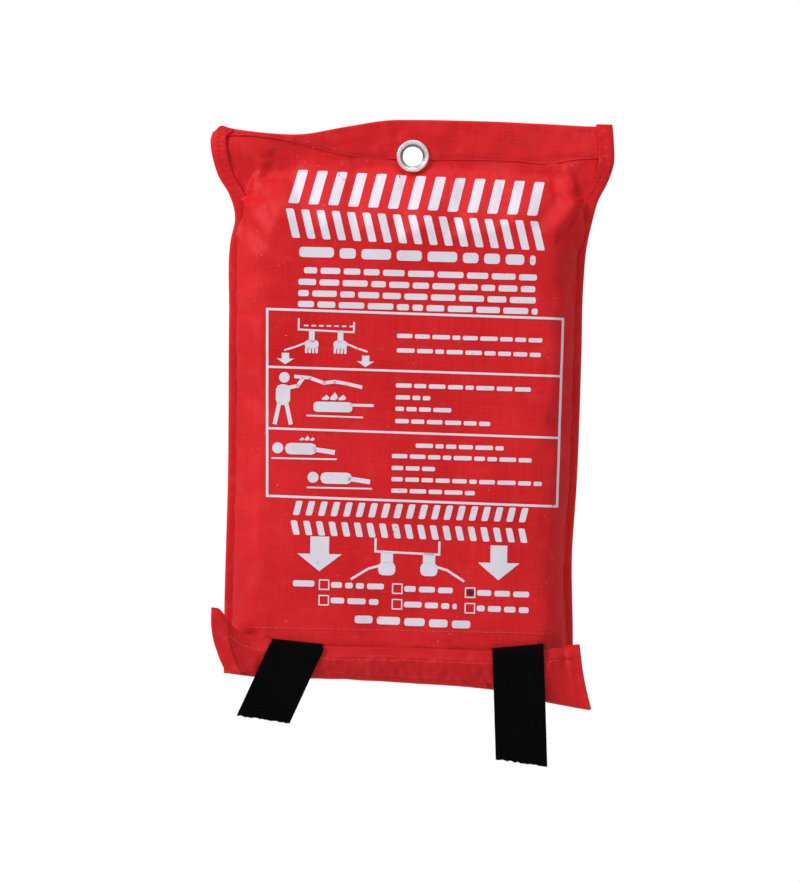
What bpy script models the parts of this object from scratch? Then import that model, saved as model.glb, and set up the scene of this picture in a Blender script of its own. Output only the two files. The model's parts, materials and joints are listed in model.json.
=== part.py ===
"""Fire blanket in a soft wall pouch: a folded glass cloth that two webbing tapes pull out downwards.

Metres, +Z up, and the front faces -Y. The origin is the middle of the eyelet's hole, which the wall
hook goes through. Every sub-part is one object, parented to an empty on its body's joint axis.
"""

import math

import bmesh
import bpy
from mathutils import Matrix, Vector

# Cloth, and the pitch from one layer's middle to the next
CLOTH = 0.0006
GAP = 0.0003
PITCH = CLOTH + GAP

# Pouch, seen from the front
TOP_Z = 0.0175
HEADER_HALF = 0.1000
BODY_HALF = 0.0875
HEADER_EDGE_Z = -0.0080
NECK_Z = -0.0360
FACING_END_Z = -0.0015
MOUTH_Z = -0.2540
FOLD_Z = -0.2613
EDGE_INSET = CLOTH + 4 * GAP

# Binding tape along the pouch's and the flap's sides
BINDING_WIDTH = 0.0070
BINDING_TOP_Z = TOP_Z + 0.0012
BINDING_END_Z = -0.2575
SEAM_INSET = 0.0055

# Back panel: the blanket presses its middle out past the side bindings, flat against the wall
BACK_BULGE = 0.0018
BACK_Y = PITCH + BACK_BULGE
BACK_FLAT_HALF = 0.0745
BACK_SLOPE_HALF = 0.0790

# Folded blanket: 1.2 m cloth, about 41 layers of 0.36 mm
PACK_HALF = 0.0780
PACK_THICK = 0.0150
PACK_BACK_Y = 0.0006
PACK_TOP_Z = -0.0340
PACK_BOTTOM_Z = -0.2560
PACK_ROUND = 0.0035

# Sewing thread
THREAD_R = 0.0002
THREAD_PITCH = GAP + THREAD_R

# Pull tapes of 25 mm webbing
WEBBING = 0.0012
WEBBING_HALF = 0.0125
ANCHOR_TOP_Z = -0.2140
BOX_STITCH_END_Z = -0.2400
TURN_Z = -0.2570
TURN_RADIUS = 0.0008
FOLD_OVER_Z = -0.2405
PIVOT_CLEAR = 0.0007
# side: (fold's middle, the leg's length, its lean from plumb, the slope of its cut end)
TAPES = {
    "left": (-0.0515, 0.0427, math.radians(-23.6), math.radians(-7.0)),
    "right": (0.0562, 0.0581, math.radians(4.0), math.radians(-7.0)),
}

# Layers in front of the blanket, each one's middle
ANCHOR_Y = PACK_BACK_Y - PACK_THICK - GAP - WEBBING / 2
BOX_STITCH_Y = ANCHOR_Y - WEBBING / 2 - THREAD_PITCH
BULGE_Y = BOX_STITCH_Y - THREAD_PITCH - CLOTH / 2
STRIP_HALF = 0.0735
STRIP_THICK = 0.0010
LOOP_TOP_Z = -0.2370
LOOP_Y = BULGE_Y - CLOTH / 2 - GAP - STRIP_THICK / 2
RISER_Y = LOOP_Y - STRIP_THICK / 2 - GAP - WEBBING / 2
HOOK_Y = RISER_Y - WEBBING / 2 - GAP - STRIP_THICK / 2
LIP_THICK = 0.0010
LIP_Y = HOOK_Y - STRIP_THICK / 2 - GAP - LIP_THICK / 2
HEM_Y = LIP_Y - LIP_THICK / 2 - THREAD_PITCH
LEG_Y = HEM_Y - THREAD_PITCH - WEBBING / 2
LIP_TOP_Z = -0.2420
FLAP_HALF = 0.0900

# Front panel's section across the bulge
CORNER_R = 0.0038
WALL_X = PACK_HALF + 0.0008
FILLET_R = 0.0015

# Eyelet
HOLE_R = 0.0053
BARREL_R = 0.0058
FLANGE_R = 0.0080
PUNCHED_R = BARREL_R + GAP
CURL_R = 0.0070
DOME = 0.0012
RING_STEPS = 32

# Each body's joint axis passes through its pivot
PIVOTS = {
    "pouch": (0, 0, 0),
    "flap_base": (0, BACK_Y, FOLD_Z),
    "flap_lip": (0, LIP_Y, FOLD_Z),
    "blanket": (0, 0, PACK_BOTTOM_Z),
}
for tape, (fold_x, *_) in TAPES.items():
    PIVOTS[f"{tape}_riser"] = (fold_x, RISER_Y, TURN_Z)
    PIVOTS[f"{tape}_fold"] = (fold_x, RISER_Y, FOLD_OVER_Z)
    PIVOTS[f"{tape}_leg"] = (fold_x, LEG_Y, FOLD_OVER_Z)
PARENTS = {"flap_base": "pouch", "flap_lip": "flap_base", "blanket": "pouch"}
for tape in TAPES:
    PARENTS[f"{tape}_riser"] = "blanket"
    PARENTS[f"{tape}_fold"] = f"{tape}_riser"
    PARENTS[f"{tape}_leg"] = f"{tape}_fold"

# name: (linear colour, roughness, metallic)
FINISHES = {
    "red_cloth": ((0.62, 0.016, 0.020), 0.62, 0.0),
    "red_binding": ((0.60, 0.020, 0.024), 0.58, 0.0),
    "red_pile": ((0.38, 0.010, 0.012), 0.95, 0.0),
    "red_thread": ((0.55, 0.014, 0.016), 0.60, 0.0),
    "black_webbing": ((0.012, 0.012, 0.013), 0.80, 0.0),
    "black_thread": ((0.015, 0.015, 0.015), 0.70, 0.0),
    "glass_cloth": ((0.78, 0.76, 0.70), 0.75, 0.0),
    "bright_nickel": ((0.80, 0.79, 0.77), 0.18, 1.0),
}


def smoothstep(start, end, value):
    t = min(1.0, max(0.0, (value - start) / (end - start)))
    return t * t * (3 - 2 * t)


def half_width(z):
    """The pouch's outer half width at height z: wide at the header, drawn in below the neck."""
    return HEADER_HALF + (BODY_HALF - HEADER_HALF) * smoothstep(HEADER_EDGE_Z, NECK_Z, z)


def spread(first, last, count):
    return [first + (last - first) * i / (count - 1) for i in range(count)]


def clear_scene():
    for obj in list(bpy.data.objects):
        bpy.data.objects.remove(obj, do_unlink=True)


def make_collection(name):
    collection = bpy.data.collections.get(name) or bpy.data.collections.new(name)
    if collection.name not in bpy.context.scene.collection.children:
        bpy.context.scene.collection.children.link(collection)
    return collection


def make_material(name):
    colour, roughness, metallic = FINISHES[name]
    material = bpy.data.materials.new(name)
    material.use_nodes = True
    shader = material.node_tree.nodes["Principled BSDF"]
    shader.inputs["Base Color"].default_value = (*colour, 1.0)
    shader.inputs["Roughness"].default_value = roughness
    shader.inputs["Metallic"].default_value = metallic
    material.diffuse_color = (*colour, 1.0)
    return material


def make_body(name, collection):
    """The empty that a body's pieces hang from, on the body's joint axis."""
    empty = bpy.data.objects.new(f"axis_{name}", None)
    empty.empty_display_size = 0.01
    collection.objects.link(empty)
    empty.location = PIVOTS[name]
    if name in PARENTS:
        empty.parent = bodies[PARENTS[name]]
        empty.location = Vector(PIVOTS[name]) - Vector(PIVOTS[PARENTS[name]])
    return empty


def add_piece(name, data, body, finish):
    """Links one sub-part, whose points are given in the pouch's frame, under its body's empty."""
    data.transform(Matrix.Translation(-Vector(PIVOTS[body])))
    data.materials.append(materials[finish])
    obj = bpy.data.objects.new(name, data)
    obj.parent = bodies[body]
    parts.objects.link(obj)
    return obj


def solidify(obj, thickness):
    """Thickens an open surface by half to each side."""
    modifier = obj.modifiers.new("Solidify", "SOLIDIFY")
    modifier.thickness = thickness
    modifier.offset = 0.0
    modifier.use_even_offset = True
    return modifier


def bevel(obj, width, segments):
    modifier = obj.modifiers.new("Bevel", "BEVEL")
    modifier.width = width
    modifier.segments = segments
    modifier.limit_method = "ANGLE"
    return modifier


def punch(obj, cutter):
    modifier = obj.modifiers.new("Punch", "BOOLEAN")
    modifier.object = cutter
    modifier.operation = "DIFFERENCE"
    modifier.solver = "EXACT"
    return modifier


def loft(name, rows, thickness, body, finish):
    """A sheet through rows of points, thickened."""
    bm = bmesh.new()
    grid = [[bm.verts.new(point) for point in row] for row in rows]
    for upper, lower in zip(grid, grid[1:]):
        for a, b, c, d in zip(upper, upper[1:], lower[1:], lower):
            bm.faces.new((a, b, c, d))
    bmesh.ops.recalc_face_normals(bm, faces=bm.faces)
    mesh = bpy.data.meshes.new(name)
    bm.to_mesh(mesh)
    bm.free()
    obj = add_piece(name, mesh, body, finish)
    solidify(obj, thickness)
    return obj


def slab(name, low, high, body, finish, rounding=0.0, segments=2):
    """A box between two corners, with rounded edges if asked."""
    bm = bmesh.new()
    bmesh.ops.create_cube(bm, size=1.0)
    size = Vector(high) - Vector(low)
    bmesh.ops.scale(bm, vec=size, verts=bm.verts)
    bmesh.ops.translate(bm, vec=Vector(low) + size / 2, verts=bm.verts)
    mesh = bpy.data.meshes.new(name)
    bm.to_mesh(mesh)
    bm.free()
    obj = add_piece(name, mesh, body, finish)
    if rounding:
        bevel(obj, rounding, segments)
    return obj


def thread(name, points, body, finish, closed=False):
    """A sewing thread: a thin curve along its seam."""
    curve = bpy.data.curves.new(name, "CURVE")
    curve.dimensions = "3D"
    curve.bevel_depth = THREAD_R
    curve.bevel_resolution = 1
    curve.use_fill_caps = True
    spline = curve.splines.new("POLY")
    spline.points.add(len(points) - 1)
    for target, point in zip(spline.points, points):
        target.co = (*point, 1.0)
    spline.use_cyclic_u = closed
    return add_piece(name, curve, body, finish)


def turned(name, profile, body, finish):
    """A ring about the hole's axis, from a closed profile of (radius, height towards the front)."""
    mesh = bpy.data.meshes.new(name)
    edges = [(i, (i + 1) % len(profile)) for i in range(len(profile))]
    mesh.from_pydata([(r, 0, h) for r, h in profile], edges, [])
    obj = add_piece(name, mesh, body, finish)
    obj.rotation_euler.x = math.pi / 2
    screw = obj.modifiers.new("Screw", "SCREW")
    screw.steps = RING_STEPS
    screw.render_steps = RING_STEPS
    screw.use_merge_vertices = True
    screw.merge_threshold = 0.00001
    screw.use_smooth_shade = True
    return obj


def neck_heights():
    return spread(HEADER_EDGE_Z, NECK_Z, 8)


def fullness(z):
    """How far the pouch is filled at height z: 0 in the flat header, 1 beside the blanket."""
    return smoothstep(HEADER_EDGE_Z - 0.001, PACK_TOP_Z, z)


def back_panel(cutter):
    """The back of the pouch. It folds over the top and ends in front, as the header's facing."""
    rows = []
    for z in (FOLD_Z + PITCH, *neck_heights()[::-1], 0.0, TOP_Z - PITCH):
        edge = half_width(z) - EDGE_INSET
        pressed = PITCH + BACK_BULGE * fullness(z)
        half = [(BACK_FLAT_HALF, pressed), (BACK_SLOPE_HALF, PITCH), (edge, PITCH)]
        section = [(-x, y) for x, y in half[::-1]] + half
        rows.append([(x, y, z) for x, y in section])
    top = [x for x, y, z in rows[-1]]
    for step in range(1, 6):
        angle = math.pi * step / 6
        y, z = PITCH * math.cos(angle), TOP_Z - PITCH + PITCH * math.sin(angle)
        rows.append([(x, y, z) for x in top])
    rows += [[(x, -PITCH, z) for x in top] for z in (TOP_Z - PITCH, FACING_END_Z)]
    punch(loft("back_panel", rows, CLOTH, "pouch", "red_cloth"), cutter)


def bulge_section(edge):
    """Half the front panel's section round the blanket, from the middle out to the seam edge."""
    points = [(x, BULGE_Y) for x in spread(0.0, WALL_X - CORNER_R, 4)]
    for step in range(1, 4):
        angle = math.pi / 2 * step / 3
        across = WALL_X - CORNER_R * (1 - math.sin(angle))
        points.append((across, BULGE_Y + CORNER_R * (1 - math.cos(angle))))
    points.append((WALL_X, -FILLET_R))
    for step in range(1, 4):
        angle = math.pi / 2 * step / 3
        across = WALL_X + FILLET_R * (1 - math.cos(angle))
        points.append((across, -FILLET_R + FILLET_R * math.sin(angle)))
    points.append((edge, 0.0))
    return points


def front_row(z):
    """One row of the front panel: flat in the header, and round the blanket below the neck."""
    edge = half_width(z) - EDGE_INSET
    bulge = bulge_section(edge)
    steps = [math.dist(a, b) for a, b in zip(bulge, bulge[1:])]
    full = fullness(z)
    half, run = [], 0.0
    for (x, y), step in zip(bulge, [*steps, 0.0]):
        flat_x = edge * run / sum(steps)
        half.append((flat_x + (x - flat_x) * full, y * full, z))
        run += step
    return [(-x, y, z) for x, y, z in half[:0:-1]] + half


def front_panel(cutter):
    heights = [TOP_Z - 0.0025, 0.0, *neck_heights(), -0.110, -0.185, MOUTH_Z]
    rows = [front_row(z) for z in heights]
    punch(loft("front_panel", rows, CLOTH, "pouch", "red_cloth"), cutter)


def side_binding(side, sign):
    """Tape folded round both panels' side edges, from over the header down to the mouth."""
    heights = [BINDING_TOP_Z, 0.0, FACING_END_Z, *neck_heights(), -0.110, -0.185, BINDING_END_Z]
    rows = []
    for z in heights:
        outer = half_width(z) - CLOTH / 2
        inner = half_width(z) - BINDING_WIDTH
        front = -2 * PITCH + PITCH * smoothstep(FACING_END_Z, HEADER_EDGE_Z, z)
        section = [(inner, front), (outer - PITCH, front), (outer, (front + 2 * PITCH) / 2)]
        section += [(outer - PITCH, 2 * PITCH), (inner, 2 * PITCH)]
        rows.append([(sign * x, y, z) for x, y in section])
    loft(f"{side}_binding", rows, CLOTH, "pouch", "red_binding")
    seam = []
    for z in heights:
        front = -2 * PITCH + PITCH * smoothstep(FACING_END_Z, HEADER_EDGE_Z, z)
        seam.append((sign * (half_width(z) - SEAM_INSET), front - PITCH + GAP / 2, z))
    thread(f"{side}_side_seam", seam, "pouch", "red_thread")


def header_seams():
    """The stitching that holds the facing down, broken by the eyelet."""
    front = -PITCH - CLOTH / 2 - THREAD_PITCH
    far = HEADER_HALF - BINDING_WIDTH - GAP
    for side, sign in (("left", -1), ("right", 1)):
        ends = [(sign * x, front, 0.0006) for x in (FLANGE_R + GAP, far)]
        thread(f"header_seam_{side}", ends, "pouch", "red_thread")


def eyelet():
    """A domed flange with its barrel, clinched over a washer at the back."""
    face = 2 * PITCH - CLOTH / 2
    back = face + DOME
    profile = [(FLANGE_R, face), (FLANGE_R, face + 0.0004)]
    for step in range(1, 6):
        angle = math.pi * step / 6
        middle, reach = (FLANGE_R + HOLE_R) / 2, (FLANGE_R - HOLE_R) / 2
        radius = middle + reach * math.cos(angle)
        profile.append((radius, face + 0.0004 + (DOME - 0.0004) * math.sin(angle)))
    profile += [(HOLE_R, face), (HOLE_R, -back + 0.0002), (HOLE_R + 0.0005, -back - 0.0006)]
    profile += [(CURL_R - 0.0004, -back - 0.0006), (CURL_R, -back - 0.0002)]
    profile += [(CURL_R - 0.0004, -back + 0.0002), (BARREL_R, -back + 0.0002), (BARREL_R, face)]
    turned("eyelet_flange", profile[::-1], "pouch", "bright_nickel")
    inner, outer = BARREL_R + GAP, FLANGE_R
    ring = [(inner, -face), (outer, -face), (outer, -face - 0.0003)]
    ring += [(outer - 0.0005, -face - 0.0008), (inner, -face - 0.0008)]
    turned("eyelet_washer", ring, "pouch", "bright_nickel")


def closure():
    """The loop strip on the pouch, and the flap that closes the mouth with its hook strip."""
    half = STRIP_THICK / 2
    low = (-STRIP_HALF, LOOP_Y - half, MOUTH_Z + 0.001)
    slab("loop_strip", low, (STRIP_HALF, LOOP_Y + half, LOOP_TOP_Z), "pouch", "red_pile")
    seam_y = LOOP_Y - half - THREAD_PITCH
    seam = [(x, seam_y, LOOP_TOP_Z - 0.0015) for x in (0.001 - STRIP_HALF, STRIP_HALF - 0.001)]
    thread("loop_strip_seam", seam, "pouch", "red_thread")

    reach = FLAP_HALF - EDGE_INSET
    low = (-reach, LIP_Y + PITCH, FOLD_Z - CLOTH / 2)
    high = (reach, BACK_Y - PITCH, FOLD_Z + CLOTH / 2)
    slab("closure_flap_base", low, high, "flap_base", "red_cloth")
    low = (-reach, LIP_Y - LIP_THICK / 2, FOLD_Z + PITCH)
    high = (reach, LIP_Y + LIP_THICK / 2, LIP_TOP_Z)
    slab("closure_flap_lip", low, high, "flap_lip", "red_cloth", rounding=LIP_THICK / 3)
    low = (-STRIP_HALF, HOOK_Y - half, FOLD_Z + 0.003)
    slab("hook_strip", low, (STRIP_HALF, HOOK_Y + half, LIP_TOP_Z - 0.001), "flap_lip", "red_pile")
    inner = FLAP_HALF - BINDING_WIDTH - GAP
    seam = [(x, HEM_Y, LIP_TOP_Z - 0.006) for x in (-inner, inner)]
    thread("flap_hem_seam", seam, "flap_lip", "red_thread")


def flap_binding(side, sign):
    """Tape folded round one side edge of the flap's lip."""
    outer = FLAP_HALF - CLOTH / 2
    inner = FLAP_HALF - BINDING_WIDTH
    reach = LIP_THICK / 2 + GAP + CLOTH / 2
    section = [(inner, -reach), (outer - PITCH, -reach), (outer, 0.0)]
    section += [(outer - PITCH, reach), (inner, reach)]
    heights = (FOLD_Z + PITCH, LIP_TOP_Z + GAP)
    rows = [[(sign * x, LIP_Y + y, z) for x, y in section] for z in heights]
    loft(f"flap_{side}_binding", rows, CLOTH, "flap_lip", "red_binding")


def folded_blanket():
    low = (-PACK_HALF, PACK_BACK_Y - PACK_THICK, PACK_BOTTOM_Z)
    high = (PACK_HALF, PACK_BACK_Y, PACK_TOP_Z)
    slab("folded_blanket", low, high, "blanket", "glass_cloth", rounding=PACK_ROUND, segments=3)


def strap(name, outline, middle, body):
    """A length of webbing along (y, z) points, centred on x = middle."""
    edges = (middle - WEBBING_HALF, middle + WEBBING_HALF)
    rows = [[(x, y, z) for x in edges] for y, z in outline]
    loft(name, rows, WEBBING, body, "black_webbing")


def tape_leg(side):
    """The hanging end: it leans, its top follows the fold and its bottom is cut on a slope."""
    middle, length, lean, cut = TAPES[side]
    rows = []
    for run, slope in ((0.0, 0.0), (length, cut)):
        reach = WEBBING_HALF / math.cos(slope - lean)
        x = middle + run * math.sin(lean)
        z = FOLD_OVER_Z - PIVOT_CLEAR - run * math.cos(lean)
        ends = [(x + k * math.cos(slope), LEG_Y, z + k * math.sin(slope)) for k in (-reach, reach)]
        rows.append(ends)
    loft(f"{side}_tape_leg", rows, WEBBING, f"{side}_leg", "black_webbing")


def pull_tape(side):
    """One tape: sewn to the blanket, out under the mouth, up behind the flap and over its top."""
    middle = TAPES[side][0]
    outline = [(ANCHOR_Y, ANCHOR_TOP_Z)]
    for step in range(4):
        angle = math.pi / 2 * step / 3
        across = ANCHOR_Y - TURN_RADIUS * (1 - math.cos(angle))
        outline.append((across, TURN_Z + TURN_RADIUS * (1 - math.sin(angle))))
    outline.append((RISER_Y + PIVOT_CLEAR, TURN_Z))
    strap(f"{side}_tape_anchor", outline, middle, "blanket")

    corners = []
    for z, order in ((ANCHOR_TOP_Z - 0.003, (-1, 1)), (BOX_STITCH_END_Z, (1, -1))):
        corners += [(middle + k * (WEBBING_HALF - 0.003), BOX_STITCH_Y, z) for k in order]
    thread(f"{side}_tape_stitching", corners, "blanket", "black_thread", closed=True)

    ends = [(RISER_Y, TURN_Z + PIVOT_CLEAR), (RISER_Y, FOLD_OVER_Z - PIVOT_CLEAR)]
    strap(f"{side}_tape_riser", ends, middle, f"{side}_riser")
    ends = [(RISER_Y - PIVOT_CLEAR, FOLD_OVER_Z), (LEG_Y + PIVOT_CLEAR, FOLD_OVER_Z)]
    strap(f"{side}_tape_fold", ends, middle, f"{side}_fold")
    tape_leg(side)


def hole_cutter():
    """The punched hole through the header's layers."""
    bm = bmesh.new()
    depth = 0.02
    ends = dict(radius1=PUNCHED_R, radius2=PUNCHED_R, depth=depth, segments=RING_STEPS)
    bmesh.ops.create_cone(bm, cap_ends=True, **ends)
    mesh = bpy.data.meshes.new("hole_cutter")
    bm.to_mesh(mesh)
    bm.free()
    cutter = bpy.data.objects.new("hole_cutter", mesh)
    cutter.rotation_euler.x = math.pi / 2
    cutter.hide_render = True
    cutter.display_type = "WIRE"
    make_collection("cutters").objects.link(cutter)
    return cutter


clear_scene()
parts = make_collection("fire_blanket")
materials = {name: make_material(name) for name in FINISHES}
bodies = {}
for body_name in PIVOTS:
    bodies[body_name] = make_body(body_name, parts)

hole = hole_cutter()
back_panel(hole)
front_panel(hole)
header_seams()
eyelet()
closure()
folded_blanket()
for side_name, side_sign in (("left", -1), ("right", 1)):
    side_binding(side_name, side_sign)
    flap_binding(side_name, side_sign)
    pull_tape(side_name)
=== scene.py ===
"""The looks of the fire blanket in its wall pouch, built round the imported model.

The frame and every mesh are in metres. Shapes are worked out in millimetres and scaled once, as their
mesh is made. The front faces -Y, so relief below 0 is towards the viewer.
"""

import json
import math

import bmesh
import bpy
import numpy as np
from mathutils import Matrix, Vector
from mathutils.bvhtree import BVHTree


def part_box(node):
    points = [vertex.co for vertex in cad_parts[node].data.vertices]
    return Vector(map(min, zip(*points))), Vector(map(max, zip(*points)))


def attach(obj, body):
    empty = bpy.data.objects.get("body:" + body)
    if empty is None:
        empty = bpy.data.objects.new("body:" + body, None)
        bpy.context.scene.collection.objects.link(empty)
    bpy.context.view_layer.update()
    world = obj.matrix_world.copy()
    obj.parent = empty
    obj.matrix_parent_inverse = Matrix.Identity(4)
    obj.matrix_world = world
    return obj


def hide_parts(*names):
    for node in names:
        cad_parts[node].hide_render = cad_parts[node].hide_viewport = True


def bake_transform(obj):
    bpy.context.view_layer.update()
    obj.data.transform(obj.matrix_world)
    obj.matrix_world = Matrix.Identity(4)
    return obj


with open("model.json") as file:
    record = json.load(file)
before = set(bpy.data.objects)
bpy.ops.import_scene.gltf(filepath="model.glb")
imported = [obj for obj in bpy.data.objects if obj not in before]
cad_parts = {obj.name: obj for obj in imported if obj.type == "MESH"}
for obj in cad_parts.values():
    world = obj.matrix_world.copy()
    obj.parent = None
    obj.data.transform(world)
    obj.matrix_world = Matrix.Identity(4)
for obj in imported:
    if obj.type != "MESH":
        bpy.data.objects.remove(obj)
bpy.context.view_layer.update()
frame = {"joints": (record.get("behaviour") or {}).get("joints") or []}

MM = 0.001
JOINTS = {joint["name"]: joint for joint in frame["joints"]}
SIDES = (("left", -1), ("right", 1))


# ---- places, in mm, from the frame
def low(node):
    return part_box(node)[0] / MM


def high(node):
    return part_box(node)[1] / MM


def pivot(joint):
    return Vector(JOINTS[joint]["pos_m"]) / MM


CLOTH = 0.55
# Gap between one layer's middle and the next where cloth is sewn to cloth
LAYER = 0.9
TOP = high("back_panel").z
MOUTH = low("front_panel").z
BULGE_Y = low("front_panel").y + CLOTH / 2
BACK_Y = high("back_panel").y - CLOTH / 2
FOLD_Z = pivot("flap_open").z
LIP_Y = pivot("flap_unfold").y
LOOP_BOTTOM = low("loop_strip").z
LOOP_HALF = high("loop_strip").x
LOOP_FRONT = low("loop_strip").y
HOOK_HALF = high("hook_strip").x
PACK_LOW, PACK_HIGH = low("folded_blanket"), high("folded_blanket")
EYELET_R = high("eyelet_flange").x
HOLE_R = 5.3
EYELET_FRONT, EYELET_BACK = low("eyelet_flange").y, high("eyelet_flange").y
WEBBING = 1.2
WEBBING_HALF = (high("left_tape_riser").x - low("left_tape_riser").x) / 2


# ---- small maths
def step(start, end, value):
    """0 before start, 1 after end, and a smooth rise between."""
    t = np.clip((np.asarray(value, float) - start) / (end - start), 0, 1)
    return t * t * (3 - 2 * t)


def mix(a, b, t):
    return a + (b - a) * t


def smooth_line(*points):
    """A smooth function through (at, value) points, level beyond its ends."""
    at, value = np.array(points, float).T
    slope = np.gradient(value, at)

    def line(q):
        q = np.clip(np.asarray(q, float), at[0], at[-1])
        i = np.clip(np.searchsorted(at, q) - 1, 0, len(at) - 2)
        gap = at[i + 1] - at[i]
        t = (q - at[i]) / gap
        rise = t * t * (3 - 2 * t)
        ease_out, ease_in = t * (1 - t) ** 2, t * t * (t - 1)
        return mix(value[i], value[i + 1], rise) + gap * (ease_out * slope[i] + ease_in * slope[i + 1])

    return line


def waves(x, z, size, seed):
    """Smooth random relief from about -1 to 1, with features about size across."""
    random = np.random.default_rng(seed)
    total = np.zeros(np.broadcast(x, z).shape)
    for _ in range(9):
        angle, phase = random.uniform(0, 2 * math.pi, 2)
        rate = 2 * math.pi / size * random.uniform(0.6, 1.4)
        total += np.sin(rate * (x * math.cos(angle) + z * math.sin(angle)) + phase)
    return total / 3


def fold(x, z, start, end, width, rise):
    """Relief of one fold along a straight line: a ridge, or a valley if rise is below 0."""
    (ax, az), (bx, bz) = start, end
    dx, dz = bx - ax, bz - az
    t = np.clip(((x - ax) * dx + (z - az) * dz) / (dx * dx + dz * dz), 0, 1)
    away = np.hypot(x - ax - t * dx, z - az - t * dz)
    return rise * np.exp(-((away / width) ** 2))


def run_along(points):
    """How far along the polyline each of its points lies."""
    return np.concatenate([[0], np.cumsum(np.hypot(*np.diff(points, axis=0).T))])


def spaced(points, count):
    """The polyline again, as count points evenly along it, through a rounded course."""
    points = np.array(points, float)
    run = run_along(points)
    at = np.linspace(0, run[-1], count)
    return np.stack([smooth_line(*zip(run, column))(at) for column in points.T], axis=1)


# ---- meshes
def grid_normals(points):
    """The unit normal at each point of a grid of rows and columns."""
    across = np.gradient(points, axis=1)
    along = np.gradient(points, axis=0)
    normal = np.cross(across, along)
    return normal / np.maximum(np.linalg.norm(normal, axis=2, keepdims=True), 1e-9)


def make_mesh(name, points, faces, material, uv=None, sharp=50):
    """A smooth object from points in metres, with edges of over sharp degrees kept sharp."""
    mesh = bpy.data.meshes.new(name)
    mesh.from_pydata(np.asarray(points).tolist(), [], [list(face) for face in faces])
    mesh.shade_smooth()
    mesh.set_sharp_from_angle(angle=math.radians(sharp))
    if uv is not None:
        layer = mesh.uv_layers.new(name="thread")
        corner = np.zeros(len(mesh.loops), np.int32)
        mesh.loops.foreach_get("vertex_index", corner)
        layer.data.foreach_set("uv", np.asarray(uv, np.float32)[corner].ravel())
    mesh.materials.append(material)
    obj = bpy.data.objects.new(name, mesh)
    bpy.context.scene.collection.objects.link(obj)
    return obj


def quads(rows, columns, offset=0, flip=False):
    """The faces of a grid of points, row by row."""
    i = np.arange(rows * columns).reshape(rows, columns) + offset
    ring = [i[:-1, :-1], i[:-1, 1:], i[1:, 1:], i[1:, :-1]]
    faces = np.stack(ring[::-1] if flip else ring, axis=-1)
    return faces.reshape(-1, 4).tolist()


def shell_faces(rows, columns, flip=False):
    """The faces of a closed shell: one grid of points, then a second behind it, and the rim between."""
    count = rows * columns
    faces = quads(rows, columns, 0, not flip) + quads(rows, columns, count, flip)
    i = np.arange(count).reshape(rows, columns)
    rim = np.concatenate([i[0, :-1], i[:-1, -1], i[-1, :0:-1], i[:0:-1, 0]])
    after = np.roll(rim, -1)
    band = [rim, rim + count, after + count, after] if flip else [rim, after, after + count, rim + count]
    return faces + np.stack(band, axis=1).tolist()


def sheet_mesh(name, points, material, thickness=CLOTH):
    """A closed sheet of cloth about a grid of middle points in mm. Its UVs are metres of thread."""
    points = np.asarray(points, float)
    rows, columns = points.shape[:2]
    normal = grid_normals(points)
    shell = np.concatenate([points + side * normal * thickness / 2 for side in (1, -1)])
    lengths = [np.linalg.norm(np.diff(points, axis=axis), axis=2) for axis in (1, 0)]
    u = np.concatenate([np.zeros((rows, 1)), np.cumsum(lengths[0], axis=1)], axis=1)
    v = np.concatenate([np.zeros((1, columns)), np.cumsum(lengths[1], axis=0)])
    u -= u[:, [columns // 2]]
    uv = np.stack([u, v], axis=2).reshape(-1, 2) * MM
    faces = shell_faces(rows, columns)
    return make_mesh(name, shell.reshape(-1, 3) * MM, faces, material, np.concatenate([uv, uv]))


def declare(piece, body, slot, *nodes):
    """Says which body a piece rides on, if it rides on one alone, and hides the nodes it replaces. Its slot
    is not used.
    """
    if body:
        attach(piece, body)
    if nodes:
        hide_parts(*nodes)


def surface_of(*objects):
    """What a needle or a print roller meets on these pieces."""
    points, faces = [], []
    for obj in objects:
        faces += [[i + len(points) for i in p.vertices] for p in obj.data.polygons]
        points += [v.co / MM for v in obj.data.vertices]
    return BVHTree.FromPolygons(points, faces)


def lay_on(surface, x, z, lift, side=-1, reach=60.0):
    """The point lift above a surface at (x, z) in mm, seen from -Y, or from +Y with side 1."""
    place = surface.ray_cast(Vector((x, side * reach, z)), Vector((0, -side, 0)))[0]
    return None if place is None else place + Vector((0, side * lift, 0))


def stitch_row(name, surface, course, material, length=2.5, pitch=3.1, thick=0.42, side=-1):
    """Single stitches along a course of (x, z) points, each sunk at its ends where the needle went in."""
    course = np.array(course, float)
    run = run_along(course)
    rings, around = 5, 6
    points, faces, random = [], [], np.random.default_rng(len(name))
    for at in np.arange(pitch / 2, run[-1] - length / 2, pitch):
        ends = []
        for s in np.linspace(at - length / 2, at + length / 2, rings):
            x, z = (float(np.interp(s, run, course[:, k])) for k in (0, 1))
            ends.append(lay_on(surface, x, z, 0.0, side))
        if None in ends:
            continue
        along = (ends[-1] - ends[0]).normalized()
        out = Vector((0, side, 0))
        across = along.cross(out).normalized()
        wobble = random.normal(0, 0.05)
        first = len(points)
        for k, centre in enumerate(ends):
            bulge = math.sin(math.pi * (k + 0.35) / (rings - 0.3))
            radius = thick / 2 * (0.45 + 0.55 * bulge)
            centre = centre + out * (thick * (0.42 * bulge - 0.22)) + across * wobble
            for j in range(around):
                angle = 2 * math.pi * j / around
                points.append(centre + radius * (math.cos(angle) * across + math.sin(angle) * out))
        for k in range(rings - 1):
            for j in range(around):
                a, b = first + k * around + j, first + k * around + (j + 1) % around
                faces.append((a, b, b + around, a + around))
        faces.append([first + j for j in range(around)][::-1])
        faces.append([first + (rings - 1) * around + j for j in range(around)])
    return make_mesh(name, np.array(points) * MM, faces, material)


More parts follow.
